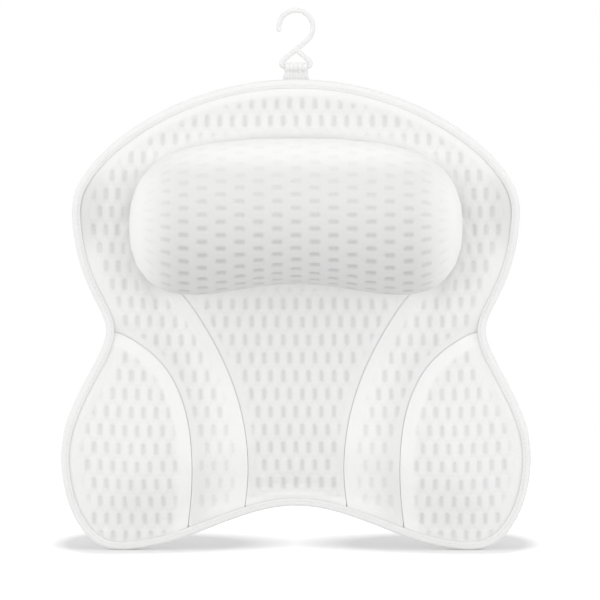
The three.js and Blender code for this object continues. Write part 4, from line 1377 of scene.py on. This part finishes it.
def make_webbing_stitches():
    """A box of stitches that holds the webbing's tail on the back."""
    tape = settings().tape
    low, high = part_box("hook_loop")
    back = joint_place("hook_swing").y + tape.webbing_wall + tape.thread_lift * tape.thread
    half, foot = high.x - tape.box_inset, low.z + tape.box_inset
    top = foot + tape.box_height
    corners = np.array([(-half, foot), (half, foot), (half, top), (-half, top)])
    return sewn("webbing_stitches", in_space(corners, back), [(0, 1), (1, 2), (2, 3), (3, 0)])


def make_hook():
    fittings = settings().fittings
    obj = moulded("hanging_hook", ["hook"], fittings.hook_voxel, fittings.hook_rounds)
    painted(obj, milky_plastic())
    return finish_piece(obj, ["hook"], "hook")


def turned(name, profile, centre, steps=72):
    """A body turned about the line through centre that points out of the wall."""
    points = []
    for turn in np.linspace(0, 2 * math.pi, steps, endpoint=False):
        points += [(centre.x + r * math.cos(turn), y, centre.z + r * math.sin(turn)) for r, y in profile]
    return welded(object_from(name, points, grid_faces(steps, len(profile), True, False)))


def rounded(corners, radius, steps=4, most=0.45):
    """A profile with its inner corners rounded off, over at most a share of the sides beside them."""
    corners = [np.array(c, float) for c in corners]
    made = [corners[0]]
    for before, here, after in zip(corners, corners[1:], corners[2:]):
        back, onward = before - here, after - here
        cut = min(radius, most * np.linalg.norm(back), most * np.linalg.norm(onward))
        start = here + cut * back / np.linalg.norm(back)
        end = here + cut * onward / np.linalg.norm(onward)
        for t in np.linspace(0, 1, steps + 1):
            made.append((1 - t) ** 2 * start + 2 * t * (1 - t) * here + t**2 * end)
    return [tuple(point) for point in made + [corners[-1]]]


def dome(rim, rim_height, crown, inner, steps=14):
    """Points of a dome's profile from its crown out to its rim, as radius and height."""
    height = crown - rim_height
    radius = (rim**2 + height**2) / (2 * height)
    return [(r, crown - radius + math.sqrt(radius**2 - r**2)) for r in np.linspace(inner, rim, steps)]


def make_cups():
    fittings = settings().fittings
    for cup in CUPS:
        low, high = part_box(f"suction_cup_{cup}")
        rim, neck, top = (high.x - low.x) / 2, fittings.neck / 2, high.y - low.y
        under, crown = top - fittings.knob_length, fittings.cup_height
        knob, tip = fittings.knob / 2, fittings.knob_tip / 2
        stem = rounded([(0, top), (tip, top), (knob, under + fittings.knob_edge), (knob, under),
                        (neck, under), (neck, crown)], fittings.knob_round)
        outside = dome(rim, fittings.cup_wall / 2, crown, neck + fittings.neck_foot)
        inside = dome(rim - fittings.cup_lip, 0, crown - fittings.cup_wall, 0)[::-1]
        lip = (rim - fittings.lip_round[0], fittings.lip_round[1])
        profile = [(r, high.y - h) for r, h in [*stem, *outside, lip, *inside]]
        obj = painted(turned(f"vinyl_cup_{cup}", profile, (low + high) / 2), clear_vinyl())
        finish_piece(obj, [f"suction_cup_{cup}"], f"cup_{cup}")


def make_eyelets():
    fittings = settings().fittings
    for cup in CUPS:
        low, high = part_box(f"eyelet_{cup}")
        bore = fittings.neck / 2 + fittings.clearance
        barrel, flange = bore + fittings.eyelet_wall, (high.x - low.x) / 2
        ledge, middle = high.y - fittings.eyelet_wall, (low + high) / 2
        corners = [(bore, middle.y), (bore, high.y), (flange, high.y), (flange, ledge), (barrel, ledge),
                   (barrel, low.y), (bore, low.y), (bore, middle.y)]
        ring = turned(f"eyelet_ring_{cup}", rounded(corners, fittings.eyelet_round), middle)
        finish_piece(painted(ring, milky_plastic()), [f"eyelet_{cup}"])
        washer = frame["nodes"][f"eyelet_washer_{cup}"]
        washer.data.materials.clear()
        washer.data.materials.append(milky_plastic())


# Stage

def make_floor():
    """A pale floor. The camera sees it under a painted glow, light that no lamp gives, which is weakest at a
    spot under each wing, so the floor's real shadow shows there in a painted shape.
    """
    stage = settings().stage
    low, side, front, behind = CAD_BOX[0][2], stage.floor_side, -stage.floor_front, stage.floor_behind
    corners = [(-side, front, low), (side, front, low), (side, behind, low), (-side, behind, low)]
    floor = object_from("floor", corners, [(0, 1, 2, 3)])
    finish = Finish("pale_floor")
    place = finish.place()
    seen = finish.add("ShaderNodeLightPath").outputs["Is Camera Ray"]
    mottle = finish.noise(place, scale=9.0, detail=3.0)
    tone = finish.mix(mottle, shaded(stage.floor, 0.99), shaded(stage.floor))
    spot = finish.add("ShaderNodeSeparateXYZ", {0: place}).outputs
    # Painted light: the glow grows with the distance from a spot under each wing, so it hides the floor's
    # real shadows beyond those spots
    aside = finish.minus(finish.math("ABSOLUTE", spot[0]), stage.shadow_place)
    aside = finish.math("MAXIMUM", finish.over(aside, stage.shadow_outside),
                        finish.over(aside, -stage.shadow_inside))
    deep = finish.over(finish.minus(spot[1], stage.shadow_behind), stage.shadow_depth)
    glow = finish.scaled(
        finish.length(aside, deep), stage.near_glow, stage.far_glow, stage.glow_start, stage.glow_end)
    floor.data.materials.append(finish.done({
        "Base Color": finish.mix(seen, tone, shaded(stage.floor_seen)),
        "Roughness": 0.9,
        "Specular IOR Level": 0.1,
        "Emission Color": WHITE,
        "Emission Strength": finish.times(glow, seen),
    }))


def make_light():
    """An even white sky, which is full white where it is seen, and four soft lamps."""
    stage = settings().stage
    world = bpy.data.worlds.new("studio")
    bpy.context.scene.world = world
    world.use_nodes = True
    nodes = Nodes(world.node_tree)
    rays = nodes.add("ShaderNodeLightPath").outputs
    seen = nodes.math("MAXIMUM", rays["Is Camera Ray"], rays["Is Glossy Ray"])
    seen = nodes.math("MAXIMUM", seen, rays["Is Transmission Ray"])
    strength = nodes.scaled(seen, low=stage.sky, high=1.0)
    nodes.give(world.node_tree.nodes["Background"], {"Color": WHITE, "Strength": strength})
    aim = Vector((0, -0.03, 0))
    lamps = (
        ("upper_light", (0, -0.7, 2.2), stage.above),
        ("left_light", (-1.9, -0.9, 0.5), stage.beside),
        ("right_light", (1.9, -0.9, 0.5), stage.beside),
        ("front_light", (0, -2.9, 0.1), stage.before),
    )
    for name, place, power in lamps:
        lamp = bpy.data.lights.new(name, "AREA")
        lamp.shape, lamp.size, lamp.energy = "DISK", stage.lamp_size, power
        obj = new_object(name, lamp)
        obj.location = place
        obj.rotation_euler = (aim - Vector(place)).to_track_quat("-Z", "Y").to_euler()


def make_camera():
    stage = settings().stage
    lens = bpy.data.cameras.new("camera")
    camera = new_object("camera", lens)
    target = Vector((stage.aim_across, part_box("edge_binding")[0].y, stage.aim_height))
    away = Vector((0, -math.cos(stage.elevation), math.sin(stage.elevation)))
    camera.location = target + stage.distance * away
    camera.rotation_euler = (-away).to_track_quat("-Z", "Y").to_euler()
    lens.angle = 2 * math.atan(stage.view_width / 2 / stage.distance)
    lens.clip_end = stage.view_depth
    bpy.context.scene.camera = camera
    bpy.context.scene.view_settings.view_transform = "Standard"


# Operators and panel

class BATHPILLOW_OT_wings(Operator):
    """Make the two padded wings"""
    bl_idname = "bath_pillow.wings"
    bl_label = "Wings"

    def execute(self, context):
        for side in SIDES:
            make_wing(side)
        return {"FINISHED"}


class BATHPILLOW_OT_surround(Operator):
    """Make the padded surround with its two strips"""
    bl_idname = "bath_pillow.surround"
    bl_label = "Surround"

    def execute(self, context):
        make_surround()
        return {"FINISHED"}


class BATHPILLOW_OT_centre(Operator):
    """Make the recessed padded centre"""
    bl_idname = "bath_pillow.centre"
    bl_label = "Centre"

    def execute(self, context):
        make_centre()
        return {"FINISHED"}


class BATHPILLOW_OT_head_cushion(Operator):
    """Make the stuffed head cushion"""
    bl_idname = "bath_pillow.head_cushion"
    bl_label = "Head Cushion"

    def execute(self, context):
        make_head()
        return {"FINISHED"}


class BATHPILLOW_OT_back(Operator):
    """Make the back panel of mesh cloth"""
    bl_idname = "bath_pillow.back"
    bl_label = "Back Panel"

    def execute(self, context):
        make_back()
        return {"FINISHED"}


class BATHPILLOW_OT_binding(Operator):
    """Make the binding tape and sew it round the edge"""
    bl_idname = "bath_pillow.binding"
    bl_label = "Binding"

    def execute(self, context):
        make_tape()
        make_stitches()
        return {"FINISHED"}


class BATHPILLOW_OT_hook(Operator):
    """Make the hanging hook and its webbing loop"""
    bl_idname = "bath_pillow.hook"
    bl_label = "Hook"

    def execute(self, context):
        make_webbing()
        make_webbing_stitches()
        make_hook()
        return {"FINISHED"}


class BATHPILLOW_OT_cups(Operator):
    """Make the suction cups and their eyelets"""
    bl_idname = "bath_pillow.cups"
    bl_label = "Suction Cups"

    def execute(self, context):
        make_cups()
        make_eyelets()
        return {"FINISHED"}


class BATHPILLOW_OT_stage(Operator):
    """Set the floor, the light and the camera"""
    bl_idname = "bath_pillow.stage"
    bl_label = "Stage"

    def execute(self, context):
        make_floor()
        make_light()
        make_camera()
        return {"FINISHED"}


OPERATORS = (
    BATHPILLOW_OT_stage, BATHPILLOW_OT_wings, BATHPILLOW_OT_surround, BATHPILLOW_OT_centre,
    BATHPILLOW_OT_head_cushion, BATHPILLOW_OT_back, BATHPILLOW_OT_binding, BATHPILLOW_OT_hook,
    BATHPILLOW_OT_cups,
)


class BATHPILLOW_PT_pieces(Panel):
    """Pieces of the bath pillow, in the order they are made"""
    bl_idname = "BATHPILLOW_PT_pieces"
    bl_label = "Bath Pillow"
    bl_space_type = "VIEW_3D"
    bl_region_type = "UI"
    bl_category = "Bath Pillow"

    def draw(self, context):
        for operator in OPERATORS:
            self.layout.operator(operator.bl_idname)


CLASSES = (
    MeshClothSettings, FadeSettings, PaddingSettings, TapeSettings, FittingSettings, StageSettings,
    BathPillowSettings, *OPERATORS, BATHPILLOW_PT_pieces,
)


def register():
    for cls in CLASSES:
        bpy.utils.register_class(cls)
    bpy.types.Scene.bath_pillow = PointerProperty(
        name="Bath pillow", description="Settings of the bath pillow", type=BathPillowSettings)


def unregister():
    del bpy.types.Scene.bath_pillow
    for cls in reversed(CLASSES):
        bpy.utils.unregister_class(cls)


def main():
    register()
    bpy.ops.bath_pillow.stage()
    bpy.ops.bath_pillow.wings()
    bpy.ops.bath_pillow.surround()
    bpy.ops.bath_pillow.centre()
    bpy.ops.bath_pillow.head_cushion()
    bpy.ops.bath_pillow.back()
    bpy.ops.bath_pillow.binding()
    bpy.ops.bath_pillow.hook()
    bpy.ops.bath_pillow.cups()


if __name__ == "__main__":
    main()
